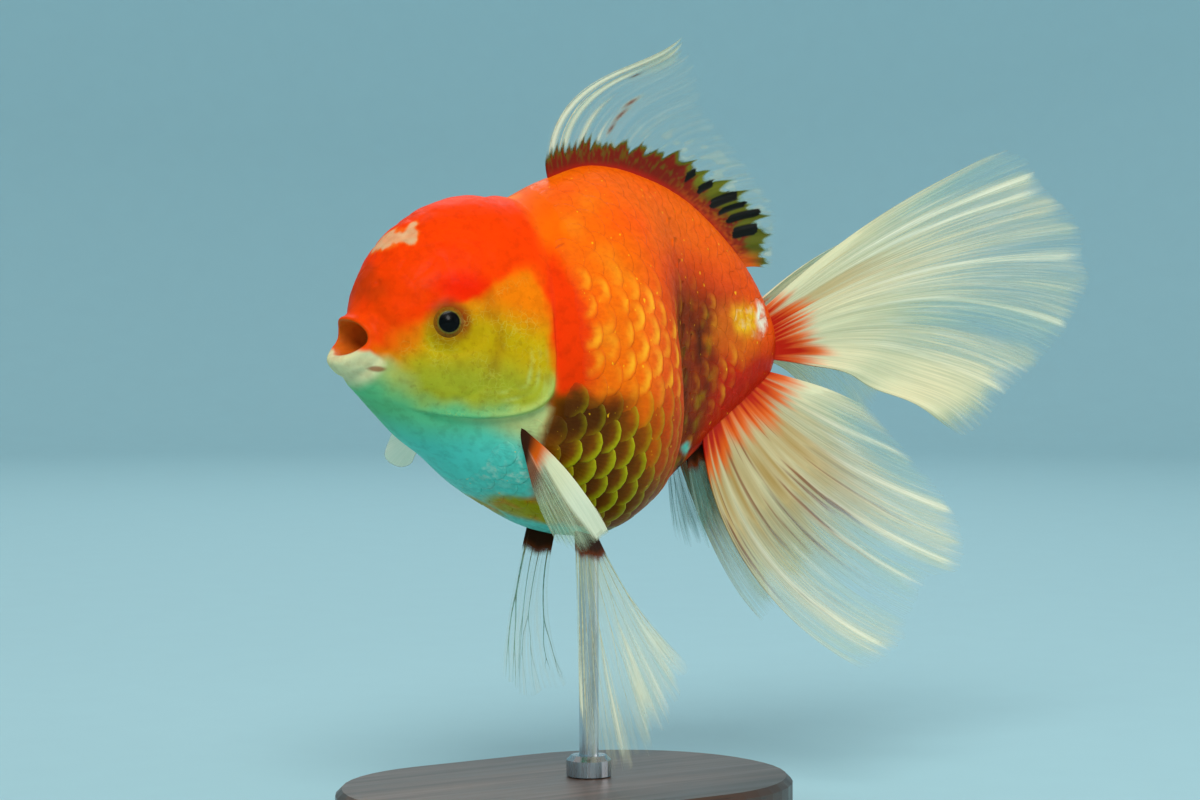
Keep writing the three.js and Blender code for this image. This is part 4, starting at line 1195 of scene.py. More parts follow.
def skin_finish(colours):
    made = Finish(
        "Wet Skin", IOR=1.33, Coat_Weight=0.01, Coat_Roughness=0.2, Specular_IOR_Level=0.05,
        Subsurface_Weight=0.08, Subsurface_Scale=0.0012,
    )
    made.shader.inputs["Subsurface Radius"].default_value = (1, 0.35, 0.2)
    tint = made.attribute(TINT).outputs["Color"]
    cap, cheek, soft = made.axes(made.attribute(ZONES).outputs["Vector"])
    spots = made.places()
    wobble = made.noise(spots, 420, 2)
    push = made.node("ShaderNodeTexNoise", Vector=spots, Scale=500.0).outputs["Color"]
    bent = made.vector("ADD", spots, made.vector("SCALE", push, 0.0016))
    deep = made.mix(1.0, tint, rgba((0.62, 0.5, 0.42)), "MULTIPLY")
    lit = made.mix(1.0, tint, rgba((1.2, 1.22, 1.2)), "MULTIPLY")
    colour = made.mix(made.fit(wobble, 0.42, 0.72, 0, 0.3), tint, deep)
    grain = made.noise(spots, 2300, 3)
    colour = made.mix(made.fit(grain, 0.52, 0.75, 0, 0.2), colour, lit)
    seam = made.cells(bent, 620.0)
    net = made.number("MULTIPLY", made.fit(seam, 0.06, 0.01), cheek)
    patchy = made.fit(made.noise(spots, 150, 2), 0.4, 0.62)
    net = made.number("MULTIPLY", net, patchy)
    colour = made.mix(made.number("MULTIPLY", net, 0.2), colour, rgba(colours.net))
    fleck = made.number("MULTIPLY", made.fit(made.noise(spots, 900, 2), 0.56, 0.72), cheek)
    colour = made.mix(made.number("MULTIPLY", fleck, 0.35), colour, deep)
    made.set(Base_Color=colour, Roughness=made.fit(grain, 0.3, 0.75, 0.4, 0.56))
    made.bump(made.noise(spots, 1500, 4), 0.2, 0.00008)
    pebble = made.cells(bent, 780.0, "SMOOTH_F1")
    made.bump(made.number("MULTIPLY", pebble, cap), 0.3, -0.00016)
    made.bump(made.number("MULTIPLY", made.noise(spots, 520, 2), soft), 0.3, 0.0002)
    made.bump(net, 0.2, -0.00004)
    return made.material


def scale_finish(colours):
    made = Finish("Scale Horn", IOR=1.36, Coat_Weight=0.03, Coat_Roughness=0.18, Specular_IOR_Level=0.1)
    tint = made.attribute(TINT).outputs["Color"]
    net, glint, pearl = made.axes(made.attribute(MARKS).outputs["Vector"])
    along, across, edge = made.axes(made.attribute(BLADE).outputs["Vector"])
    spots = made.places()
    cloudy = made.noise(spots, 650, 3)
    deep = made.mix(1.0, tint, rgba((0.6, 0.42, 0.36)), "MULTIPLY")
    mottled = made.mix(made.fit(cloudy, 0.35, 0.7, 0, 0.3), tint, deep)
    rear = made.fit(along, -0.35, 0.3)
    frayed = made.number("ADD", edge, made.number("MULTIPLY", made.number("SUBTRACT", cloudy, 0.5), 0.3))
    # Painted shadow: the front of each lower scale is darkened with the deep shade colour, where the scale before it
    # overlaps it.
    dark = made.number("MULTIPLY", made.fit(along, 0.5, -0.1), net)
    mottled = made.mix(made.number("MULTIPLY", dark, 0.5), mottled, rgba(colours.shade))
    reach = made.fit(made.noise(spots, 60, 1), 0.35, 0.65, -0.1, 0.1)
    rim_share = made.number("MULTIPLY", made.fit(made.number("ADD", frayed, reach), 0.62, 0.02), made.fit(along, 0.0, 0.8))
    green = made.mix(made.fit(frayed, -0.1, 0.2), rgba(colours.rim_edge), rgba(colours.rim))
    colour = made.mix(made.number("MULTIPLY", rim_share, net), mottled, green)
    # Painted highlight: a bright crescent near each flank scale's rear edge, where the glint share is set.
    glint_crescent = made.number("MULTIPLY", made.fit(frayed, 0.02, 0.24), made.fit(frayed, 0.8, 0.22))
    slanted = made.number("ABSOLUTE", made.number("ADD", across, 0.12))
    glint_crescent = made.number("MULTIPLY", glint_crescent, made.fit(slanted, 0.95, 0.05))
    patchy = made.fit(made.noise(spots, 110, 2), 0.34, 0.58, 0.08, 1.0)
    glint_crescent = made.number("MULTIPLY", made.number("MULTIPLY", glint_crescent, patchy), made.number("MULTIPLY", glint, rear))
    colour = made.mix(glint_crescent, colour, rgba(colours.glint))
    plain = made.number("SUBTRACT", 1.0, net, clamp=True)
    line = made.number("MULTIPLY", made.number("MULTIPLY", made.fit(edge, 0.14, 0.0), rear), plain)
    colour = made.mix(made.number("MULTIPLY", line, 0.08), colour, deep)
    # The pearly scales' own silver, with painted glints flashing on it.
    silver_and_glints = made.number("MULTIPLY", made.fit(made.noise(spots, 420, 3), 0.46, 0.64), pearl)
    colour = made.mix(made.number("MULTIPLY", silver_and_glints, 0.7), colour, rgba(colours.pearl))
    # Gold specks on the plain scales, painted bright as glints.
    gold_specks_and_glints = made.fit(made.noise(made.places((1, 1, 0.7)), 760, 1), 0.73, 0.79)
    colour = made.mix(made.number("MULTIPLY", made.number("MULTIPLY", gold_specks_and_glints, plain), 0.8), colour, rgba(colours.gold))
    made.set(Base_Color=colour, Roughness=made.fit(cloudy, 0.3, 0.7, 0.34, 0.5))
    centre = made.node("ShaderNodeCombineXYZ", X=made.number("ADD", along, 0.55), Y=across)
    ring = made.node("ShaderNodeTexWave", {"wave_type": "RINGS", "rings_direction": "SPHERICAL"}, Vector=centre, Scale=4.2)
    made.bump(ring.outputs["Fac"], 0.25, 0.00003)
    spread = made.node("ShaderNodeMath", {"operation": "ARCTAN2"})
    made.feed(spread.inputs[0], across)
    made.feed(spread.inputs[1], made.number("ADD", along, 0.85))
    groove = made.number("SINE", made.number("MULTIPLY", spread, 34.0))
    made.bump(groove, 0.25, 0.00004)
    return made.material


def eye_finish():
    made = Finish("Wet Eye", IOR=1.4, Coat_Weight=0.06, Coat_Roughness=0.04, Roughness=0.3, Specular_IOR_Level=0.1)
    tint = made.attribute(TINT).outputs["Color"]
    fleck = made.noise(made.places(), 1800, 3)
    dim = made.mix(1.0, tint, rgba((0.55, 0.45, 0.35)), "MULTIPLY")
    made.set(Base_Color=made.mix(made.fit(fleck, 0.4, 0.7, 0, 0.7), tint, dim))
    made.bump(fleck, 0.06, 0.00004)
    return made.material


def web_finish(name, colours, streaks, strength):
    """A fin's sheet: streaked along its rays and clear where its density is low."""
    made = Finish(name, IOR=1.36, Specular_IOR_Level=0.15)
    paint_at = made.attribute(TINT)
    tint, density = paint_at.outputs["Color"], paint_at.outputs["Alpha"]
    spread = made.node("ShaderNodeUVMap", {"uv_map": RAY_MAP})
    fine = made.node("ShaderNodeMapping", Vector=spread, Scale=(streaks, 0.28, 1)).outputs[0]
    coarse = made.node("ShaderNodeMapping", Vector=spread, Scale=(streaks / 4, 0.5, 1)).outputs[0]
    hair = made.noise(fine, 1.0, 4, 0.65)
    cloud = made.noise(coarse, 1.0, 2)
    thin = made.mix(1.0, tint, rgba(colours.thin), "MULTIPLY")
    clear = made.number("SUBTRACT", 1.0, density, clamp=True)
    open_web = made.number("ADD", made.number("MULTIPLY", clear, 0.8), 0.2, clamp=True)
    colour = made.mix(made.number("MULTIPLY", made.fit(hair, 0.62, 0.4, 0, 0.75), open_web), tint, thin)
    milky = made.number("MULTIPLY", made.fit(cloud, 0.5, 0.7, 0, 0.35), made.fit(clear, 0.05, 0.4))
    colour = made.mix(milky, colour, rgba(colours.ray))
    made.set(Base_Color=colour, Roughness=made.fit(hair, 0.3, 0.7, 0.4, 0.55))
    swing = made.number("MULTIPLY", made.number("SUBTRACT", hair, 0.47), strength)
    swing = made.number("MULTIPLY", swing, made.number("MINIMUM", made.number("MULTIPLY", clear, 3.0), 1.0))
    whole = made.number("ADD", density, swing)
    whole = made.number("MINIMUM", made.number("MAXIMUM", whole, 0.0), 1.0)
    layer = made.number("SUBTRACT", 1.0, made.number("SQRT", made.number("SUBTRACT", 1.0, whole, clamp=True)))
    made.set(Alpha=layer)
    made.bump(hair, 0.3, 0.00012)
    return made.material


def ray_finish():
    made = Finish("Fin Ray", IOR=1.4, Specular_IOR_Level=0.3)
    tint = made.attribute(TINT).outputs["Color"]
    knot = made.noise(made.places(), 700, 3)
    dim = made.mix(1.0, tint, rgba((0.72, 0.62, 0.5)), "MULTIPLY")
    made.set(Base_Color=made.mix(made.fit(knot, 0.42, 0.7), tint, dim), Roughness=made.fit(knot, 0.3, 0.7, 0.35, 0.5))
    made.bump(knot, 0.2, 0.00006)
    return made.material


def wood_finish(settings):
    made = Finish("Oiled Walnut", IOR=1.5, Coat_Weight=0.25, Coat_Roughness=0.25)
    board = made.places((9, 130, 110))
    figure = made.noise(made.places((5, 26, 26)), 1.0, 3, 0.5, 0.6)
    grain = made.noise(board, 1.0, 6, 0.62, 0.35)
    pore = made.noise(made.places((60, 1500, 1500)), 1.0, 2)
    light = made.mix(made.fit(figure, 0.3, 0.7), rgba(settings.wood_light), rgba(settings.wood_dark))
    colour = made.mix(made.fit(grain, 0.4, 0.66, 0, 0.75), light, rgba(settings.wood_dark))
    colour = made.mix(made.fit(pore, 0.6, 0.7, 0, 0.6), colour, rgba((0.01, 0.006, 0.004)))
    made.set(Base_Color=colour, Roughness=made.fit(grain, 0.3, 0.7, 0.34, 0.5))
    made.bump(grain, 0.15, 0.0002)
    made.bump(pore, 0.25, -0.0001)
    return made.material


def steel_finish(settings):
    made = Finish("Brushed Steel", Metallic=1.0, IOR=2.5)
    brushed = made.noise(made.places((900, 900, 24)), 1.0, 3)
    cloud = made.noise(made.places(), 90, 3)
    dull = made.mix(1.0, rgba(settings.steel), rgba((0.72, 0.72, 0.74)), "MULTIPLY")
    made.set(
        Base_Color=made.mix(made.fit(cloud, 0.35, 0.7, 0, 0.6), rgba(settings.steel), dull),
        Roughness=made.fit(brushed, 0.3, 0.7, 0.2, 0.36),
    )
    made.bump(brushed, 0.12, 0.00004)
    return made.material


def floor_finish(settings):
    made = Finish("Studio Paper", Roughness=0.85)
    fibre = made.noise(made.places(), 60, 3)
    pale = made.mix(1.0, rgba(settings.floor), rgba((0.96, 0.96, 0.97)), "MULTIPLY")
    made.set(Base_Color=made.mix(fibre, rgba(settings.floor), pale))
    made.bump(fibre, 0.05, 0.0002)
    return made.material


# ---------------------------------------------------------------- sizes and colours a user would change


def colour_prop(name, words, red, green, blue):
    return bpy.props.FloatVectorProperty(
        name=name, description=words, subtype="COLOR", size=3, min=0, max=1, default=linear(red, green, blue)
    )


def size_prop(name, words, millimetres):
    return bpy.props.FloatProperty(
        name=name, description=words, default=millimetres * MM, min=0, unit="LENGTH", precision=5
    )


def share_prop(name, words, default):
    return bpy.props.FloatProperty(name=name, description=words, default=default, min=0, max=1, subtype="FACTOR")


class BodyColours(bpy.types.PropertyGroup):
    cap: colour_prop("Cap", "Red of the cap over the head", 252, 62, 0)
    cap_deep: colour_prop("Deep Cap", "Darker red above the eye", 242, 26, 0)
    blush: colour_prop("Cap Patch", "Pale patch on the front of the cap", 228, 178, 132)
    halo: colour_prop("Patch Edge", "Orange round the cap's pale patch", 250, 112, 26)
    snout: colour_prop("Snout", "Orange-red of the snout", 242, 72, 4)
    lip: colour_prop("Lower Lip", "Cream of the lower lip", 222, 212, 160)
    # Partly painted light: the lining's orange-brown, brightened to stand in for light inside the mouth.
    mouth: colour_prop("Mouth", "Inside of the mouth", 214, 100, 24)
    cheek: colour_prop("Cheek", "Yellow-olive of the cheek", 196, 160, 8)
    cheek_top: colour_prop("Upper Cheek", "Orange of the upper gill cover", 240, 120, 4)
    # Partly painted light: the lower cheek's olive, made greener as by blue-green light from below.
    cheek_low: colour_prop("Lower Cheek", "Green of the lower cheek", 170, 168, 40)
    cheek_warm: colour_prop("Warm Cheek", "Amber of the gill cover's rear", 204, 148, 4)
    ember: colour_prop("Ember", "Orange before the gold of the tail's root", 236, 110, 6)
    net: colour_prop("Cheek Net", "Fine pale lines on the cheek", 214, 206, 90)
    rim_light: colour_prop("Cover Rim", "Pale rim of the gill cover", 190, 204, 110)
    # Painted reflection: the throat's white, tinted green as by light from the water.
    throat: colour_prop("Throat", "Pale green-white of the throat", 104, 194, 132)
    chin: colour_prop("Chin", "Cream-green of the chin", 190, 196, 126)
    # Painted reflection: the breast and belly's white, tinted blue-green as by light from the water.
    breast: colour_prop("Breast", "Blue-green white of the breast and belly", 96, 214, 194)
    olive: colour_prop("Belly Patch", "Olive patch on the belly", 176, 160, 4)
    # Painted shade: this brown is laid into folds, round the eye socket, into the mouth's corner and on the cap's front
    # edge.
    brown_patch_and_shade: colour_prop("Bruise", "Brown shade in the folds", 140, 52, 8)
    # Painted shade, laid into hollows, creases and corners and under overlapping scales.
    shade: colour_prop("Deep Shade", "Dark brown of the hollows", 46, 18, 1)
    band: colour_prop("Shoulder Band", "Red band behind the gill cover", 240, 54, 2)
    back: colour_prop("Back", "Orange of the back", 252, 100, 2)
    flank: colour_prop("Flank", "Orange of the flank", 250, 108, 2)
    flank_rear: colour_prop("Rear Flank", "Red-brown of the rear flank", 222, 66, 0)
    # Painted shade: the dark red that fills the hollow before the tail.
    hollow_shade: colour_prop("Tail Hollow", "Dark red of the hollow before the tail", 140, 40, 0)
    root: colour_prop("Tail Root", "Red of the tail's root", 200, 30, 0)
    # Gold and pearl: the scales' own metallic colours, with their shine painted in where they are laid.
    gold: colour_prop("Gold", "Gold at the root of the tail", 255, 188, 20)
    pearl: colour_prop("Pearl", "Silvery white of single scales", 248, 240, 214)
    scale_centre: colour_prop("Lower Scale", "Brown-red centre of the lower scales", 128, 66, 2)
    rim: colour_prop("Scale Rim", "Yellow-green rim of the lower scales", 170, 156, 4)
    rim_edge: colour_prop("Scale Edge", "Outermost line of that rim", 190, 180, 24)
    # Painted highlight on the flank scales.
    glint: colour_prop("Scale Glint", "Bright spot on a flank scale", 255, 170, 30)


class FinColours(bpy.types.PropertyGroup):
    fin: colour_prop("Web", "Cream of the fins", 222, 216, 176)
    thin: colour_prop("Thin Web", "Shade of the web between streaks", 176, 204, 176)
    ray: colour_prop("Ray", "Bright rays", 244, 240, 214)
    white: colour_prop("Paddle", "White of the far side fin", 255, 248, 220)
    fold: colour_prop("Fold", "Cream of the upper tail's folded edge", 236, 226, 184)
    ember: colour_prop("Ember", "Orange where the red ends", 232, 92, 4)
    root: colour_prop("Fin Root", "Red of the fins' roots", 184, 26, 2)
    tan: colour_prop("Tan", "Tan streaks of the lower tail", 168, 128, 56)
    olive: colour_prop("Fin Olive", "Olive tips of the dorsal band", 92, 92, 12)
    moss: colour_prop("Fin Moss", "Yellow-green ends of the dorsal's rear spikes", 138, 146, 26)
    dark_fin: colour_prop("Dorsal Band", "Dark red band of the dorsal fin", 118, 22, 2)
    spot: colour_prop("Dorsal Spots", "Black spots of the dorsal fin", 12, 11, 6)
    brown_patch_and_shade: colour_prop("Fin Bruise", "Red-brown patches in the fins", 124, 50, 14)
    shade: colour_prop("Fin Base", "Dark brown base of the lower fins", 58, 24, 4)
    murk: colour_prop("Dark Ray", "Grey-green rays of the far lower fins", 124, 168, 158)


class SkinSettings(bpy.types.PropertyGroup):
    around: bpy.props.IntProperty(name="Sides", description="Points round the body", default=280, min=24)
    fineness: bpy.props.FloatProperty(
        name="Ring Density", description="Share of the full number of rings", default=1.0, min=0.1, max=1.1
    )


class ScaleSettings(bpy.types.PropertyGroup):
    depth: size_prop("Coat Depth", "How far the scales stand over the skin", 0.42)
    pitch_front: size_prop("Front Spacing", "Distance between columns behind the gills", 4.4)
    pitch_rear: size_prop("Rear Spacing", "Distance between columns at the tail", 3.2)
    overlap: bpy.props.FloatProperty(
        name="Overlap", description="Scale length over column spacing", default=2.0, min=1.1, max=3
    )
    rows: bpy.props.IntProperty(name="Rows", description="Scales round the body at its widest", default=33, min=8)
    variation: share_prop("Variation", "How much smaller the smallest scale is", 0.07)
    seed: bpy.props.IntProperty(name="Seed", description="Fixes the chance in sizes", default=4)


class EyeSettings(bpy.types.PropertyGroup):
    pupil: size_prop("Pupil Radius", "Radius of the black pupil", 2.4)
    ring: size_prop("Ring Radius", "Outer radius of the gold ring", 2.68)
    black: colour_prop("Pupil", "Black of the pupil", 5, 5, 6)
    gold: colour_prop("Ring", "Gold ring round the pupil", 118, 104, 34)
    brown: colour_prop("Outer Eye", "Olive-brown outside the ring", 140, 84, 6)


class FinSettings(bpy.types.PropertyGroup):
    web_root: size_prop("Web at Root", "Half thickness of the web at its root", 0.3)
    web_tip: size_prop("Web at Tip", "Half thickness of the web at its tips", 0.045)
    ray_thickness: bpy.props.FloatProperty(
        name="Ray Thickness", description="Factor on every ray's thickness", default=1.0, min=0.2, max=2
    )
    ray_sides: bpy.props.IntProperty(name="Ray Sides", description="Sides of a ray", default=6, min=3, max=12)


class StandSettings(bpy.types.PropertyGroup):
    wood_light: colour_prop("Light Wood", "Light grain of the base", 112, 74, 48)
    wood_dark: colour_prop("Dark Wood", "Dark grain of the base", 56, 34, 22)
    steel: colour_prop("Steel", "Colour of the rod", 200, 200, 204)


class StageSettings(bpy.types.PropertyGroup):
    floor: colour_prop("Floor", "Pale floor and backdrop", 166, 208, 218)
    azimuth: bpy.props.FloatProperty(
        name="Azimuth", description="Camera angle round the fish", default=math.radians(-36), unit="ROTATION"
    )
    elevation: bpy.props.FloatProperty(
        name="Elevation", description="Camera angle over level", default=math.radians(2.5), unit="ROTATION"
    )
    distance: size_prop("Distance", "From the camera to its target", 803)
    target: bpy.props.FloatVectorProperty(
        name="Target", description="Point the camera looks at", default=(0.007, -0.004, 0.101), unit="LENGTH"
    )
    lens: bpy.props.FloatProperty(name="Lens", description="Focal length in millimetres", default=100, min=20)
    key: bpy.props.FloatProperty(name="Key Light", description="Main light", default=21, min=0, unit="POWER")
    fill: bpy.props.FloatProperty(name="Fill Light", description="Softening light", default=6, min=0, unit="POWER")
    rim: bpy.props.FloatProperty(name="Rim Light", description="Light from behind", default=5, min=0, unit="POWER")
    room: share_prop("Room Light", "Strength of the light from all round", 0.42)


class Goldfish(bpy.types.PropertyGroup):
    body: bpy.props.PointerProperty(type=BodyColours, name="Body Colours")
    tips: bpy.props.PointerProperty(type=FinColours, name="Fin Colours")
    skin: bpy.props.PointerProperty(type=SkinSettings, name="Skin")
    scales: bpy.props.PointerProperty(type=ScaleSettings, name="Scales")
    eyes: bpy.props.PointerProperty(type=EyeSettings, name="Eyes")
    fins: bpy.props.PointerProperty(type=FinSettings, name="Fins")
    stand: bpy.props.PointerProperty(type=StandSettings, name="Stand")
    stage: bpy.props.PointerProperty(type=StageSettings, name="Stage")


# ---------------------------------------------------------------- pieces

FLESH = ("head", "gill_cover_left", "gill_cover_right", "lower_jaw", "trunk", "tail_stalk")
SKIN_NAME = "fish_skin"
RINGS = ((0, 3, 36), (3, 5, 40), (5, 11.2, 150), (11.2, 19, 84), (19, LAST_STATION, 18))


class GOLDFISH_OT_skin(bpy.types.Operator):
    """Lofts the skin from the mouth's lining to the tail and paints its markings, with painted shade and highlights"""

    bl_idname = "goldfish.skin"
    bl_label = "Make Skin"

    def execute(self, context):
        settings = context.scene.goldfish
        colours = settings.body
        around = settings.skin.around
        spans = [
            np.linspace(start, end, max(3, int(count * settings.skin.fineness)), endpoint=False)
            for start, end, count in RINGS
        ]
        stations = np.append(np.concatenate(spans), LAST_STATION)
        rings = len(stations)
        angles = 2 * math.pi * np.arange(around) / around
        station = np.repeat(stations, around)
        angle = np.tile(angles, rings)
        plain = rim(station, angle)
        spots, facing, _ = surface(station, angle)
        spots = spots + facing * relief(plain, station, settings.scales.depth / MM)[:, None]
        tint, _ = markings(plain, station, colours)
        ends = [spots[:around].mean(0), spots[-around:].mean(0)]
        points = np.vstack([spots, ends])
        tint = np.vstack([tint, tint[:around].mean(0), tint[-around:].mean(0)])
        faces, places = grid(rings, around)
        column = np.arange(around)
        following = (column + 1) % around
        first, last = len(spots), len(spots) + 1
        base = (rings - 1) * around
        fan_start = np.stack([np.full(around, first), column, following], 1)
        fan_end = np.stack([base + column, np.full(around, last), base + following], 1)
        made = new_object(SKIN_NAME, points, [*faces, *fan_start, *fan_end], skin_finish(colours))
        store(made.data, TINT, "FLOAT_COLOR", opaque(tint))
        x, y, z = plain.T
        head = smooth(ahead_of_gills(x, z), -0.4, 0.8)
        cap = smooth(inside(CAP_PATCH, x, z), -0.5, 2) * head * smooth(station, 3, 4)
        cheek = smooth(inside(CHEEK_PATCH, x, z), 0, 2.5) * head
        soft = smooth(inside(BREAST_PATCH, x, z), 0, 2)
        zones = np.stack([cap, cheek, soft], -1)
        store(made.data, ZONES, "FLOAT_VECTOR", np.vstack([zones, np.zeros((2, 3))]))
        v = np.interp(np.arange(rings), np.arange(rings), stations) / LAST_STATION
        places = places.reshape(-1, 4, 2)
        row = np.rint(places[..., 1] * (rings - 1)).astype(int)
        corners = np.stack([places[..., 0], v[row]], -1).reshape(-1, 2)
        tips = []
        for at in (0.0, 1.0):
            left, right = column / around, (column + 1) / around
            middle = (left + right) / 2
            near = np.full(around, at)
            if at == 0:
                tips.append(np.stack([middle, near, left, near + 0.0005, right, near + 0.0005], 1))
            else:
                tips.append(np.stack([left, near - 0.0005, middle, near, right, near - 0.0005], 1))
        store_map(made.data, BAKE_MAP, np.vstack([corners, np.concatenate(tips).reshape(-1, 2)]))
        finish_piece(made, "skin", *FLESH)
        self.test_size()
        return {"FINISHED"}

    def test_size(self):
        """The skin may not leave the solids of flesh by more than their own accuracy."""
        boxes = [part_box(node) for node in FLESH]
        low = np.min([box[0] for box in boxes], 0)
        high = np.max([box[1] for box in boxes], 0)
        points = np.array([vertex.co for vertex in bpy.data.objects[SKIN_NAME].data.vertices])
        over = max((low - points.min(0)).max(), (points.max(0) - high).max())
        short = max((points.min(0) - low).max(), (high - points.max(0)).max())
        if over > 1.2 * MM or short > 2.5 * MM:
            raise RuntimeError(f"the skin is off the solids by {over / MM:.2f} and {short / MM:.2f} mm")


SCALE_RINGS = (0.45, 0.75, 0.92, 1.0)
SCALE_SIDES = 14


def scale_shape():
    """One scale, two units across, rising towards its rear edge; it is closed underneath."""
    turn = 2 * math.pi * np.arange(SCALE_SIDES) / SCALE_SIDES
    circle = np.stack([np.cos(turn), np.sin(turn)], -1)
    flat = np.vstack([[(0, 0)], *[circle * ring for ring in SCALE_RINGS], circle])
    radius = np.hypot(*flat.T)
    lift = lerp(-0.35, 0.62, (flat[:, 0] + 1) / 2) + 0.16 * (1 - radius ** 2)
    lift[1 + SCALE_SIDES * (len(SCALE_RINGS) - 1):] -= 0.06
    lift[1 + SCALE_SIDES * len(SCALE_RINGS):] -= 0.34
    points = np.column_stack([flat, lift * 0]) / MM
    column = np.arange(SCALE_SIDES)
    following = (column + 1) % SCALE_SIDES
    faces = [(0, 1 + a, 1 + b) for a, b in zip(column, following)]
    for ring in range(len(SCALE_RINGS)):
        inner = 1 + ring * SCALE_SIDES
        outer = inner + SCALE_SIDES
        faces += [(inner + a, outer + a, outer + b, inner + b) for a, b in zip(column, following)]
    faces.append(tuple(int(i) for i in outer + column[::-1]))
    made = new_object("scale_shape", points, faces)
    edge = np.clip(1 - radius, 0, 1)
    store(made.data, BLADE, "FLOAT_VECTOR", np.column_stack([flat, edge]))
    store(made.data, "Lift", "FLOAT", lift)
    store(made.data, "Patch", "FLOAT_VECTOR", np.column_stack([flat[:, 1] / 2, flat[:, 0] / 2, 0 * edge]))
    return made


class GOLDFISH_OT_scales(bpy.types.Operator):
    """Covers the body behind the gills with overlapping scales"""

    bl_idname = "goldfish.scales"
    bl_label = "Make Scales"

    def execute(self, context):
        settings = context.scene.goldfish
        scales = settings.scales
        skin = bpy.data.objects.get(SKIN_NAME)
        if not skin:
            raise RuntimeError("the scales need the skin; make it first")
        shape = scale_shape()
        seats = self.seats(settings)
        made = scale_tree().applied(seats, "fish_scales", {
            "Scale Shape": shape, "Skin": skin, "Depth": scales.depth, "Variation": scales.variation,
            "Patch Size": 0.003, "Seed": scales.seed, "Material": scale_finish(settings.body),
        })
        bpy.data.objects.remove(shape)
        finish_piece(made, "skin")
        return {"FINISHED"}

    def seats(self, settings):
        """A point mesh: one seat per scale, with how it lies, its size and its colours."""
        scales = settings.scales
        front, rear = scales.pitch_front / MM, scales.pitch_rear / MM
        found = {"station": [], "angle": [], "long": [], "wide": []}
        x, turn = 22.0, 0
        while x < 125.5:
            station = float(station_at(x))
            pitch = lerp(front, rear, (x - 22) / 103)
            dense = np.linspace(0, 2 * math.pi, 721)
            ring = rim(np.full(721, station), dense)
            walked = np.append(0, np.cumsum(np.linalg.norm(np.diff(ring, axis=0), axis=1)))
            count = scales.rows if x < 100 else round(scales.rows * (0.68 if x < 112 else 0.48))
            at = (np.arange(count) + 0.5 * (turn % 2)) / count
            angle = np.interp(at * walked[-1], walked, dense)
            found["station"].append(np.full(count, station))
            found["angle"].append(angle)
            found["long"].append(np.full(count, scales.overlap * pitch / 2))
            found["wide"].append(np.full(count, 0.74 * walked[-1] / count))
            x += pitch
            turn += 1
        station, angle, long, wide = (np.concatenate(found[key]) for key in ("station", "angle", "long", "wide"))
        plain = rim(station, angle)
        edge = ahead_of_gills(plain[:, 0], plain[:, 2])
        kept = (edge < -4.6) & (plain[:, 0] > 28)
        station, angle, long, wide, plain, edge = (
            values[kept] for values in (station, angle, long, wide, plain, edge)
        )
        small = lerp(0.8, 1, smooth(edge, -1, -6))
        spots, facing, back = surface(station, angle)
        tint, marks = markings(plain, station, settings.body)
        tone = 1 + 0.24 * (hashed(np.rint(plain * 10).astype(np.int64), 8)[:, None] - 0.5)
        rise = lerp(0.5, 0.85, marks[:, 0]) * lerp(0.45, 1, smooth(edge, -4, -10))
        rise = rise * lerp(0.7, 1, smooth(plain[:, 0], 28, 40)) * lerp(1, 0.5, smooth(plain[:, 2], 10, 24))
        made = new_object("scale_seats", spots, [])
        mesh = made.data
        store(mesh, TINT, "FLOAT_COLOR", opaque(np.clip(tint * tone, 0, 1)))
        store(mesh, MARKS, "FLOAT_VECTOR", marks)
        store(mesh, "Rise", "FLOAT", rise)
        store(mesh, "Facing", "FLOAT_VECTOR", facing)
        store(mesh, "Lie", "FLOAT_VECTOR", back)
        store(mesh, "Size", "FLOAT_VECTOR", np.column_stack([long * small, wide * small, small]) * MM)
        root = np.column_stack([angle / (2 * math.pi) % 1, station / LAST_STATION, 0 * angle])
        store(mesh, "Root", "FLOAT_VECTOR", root)
        return made


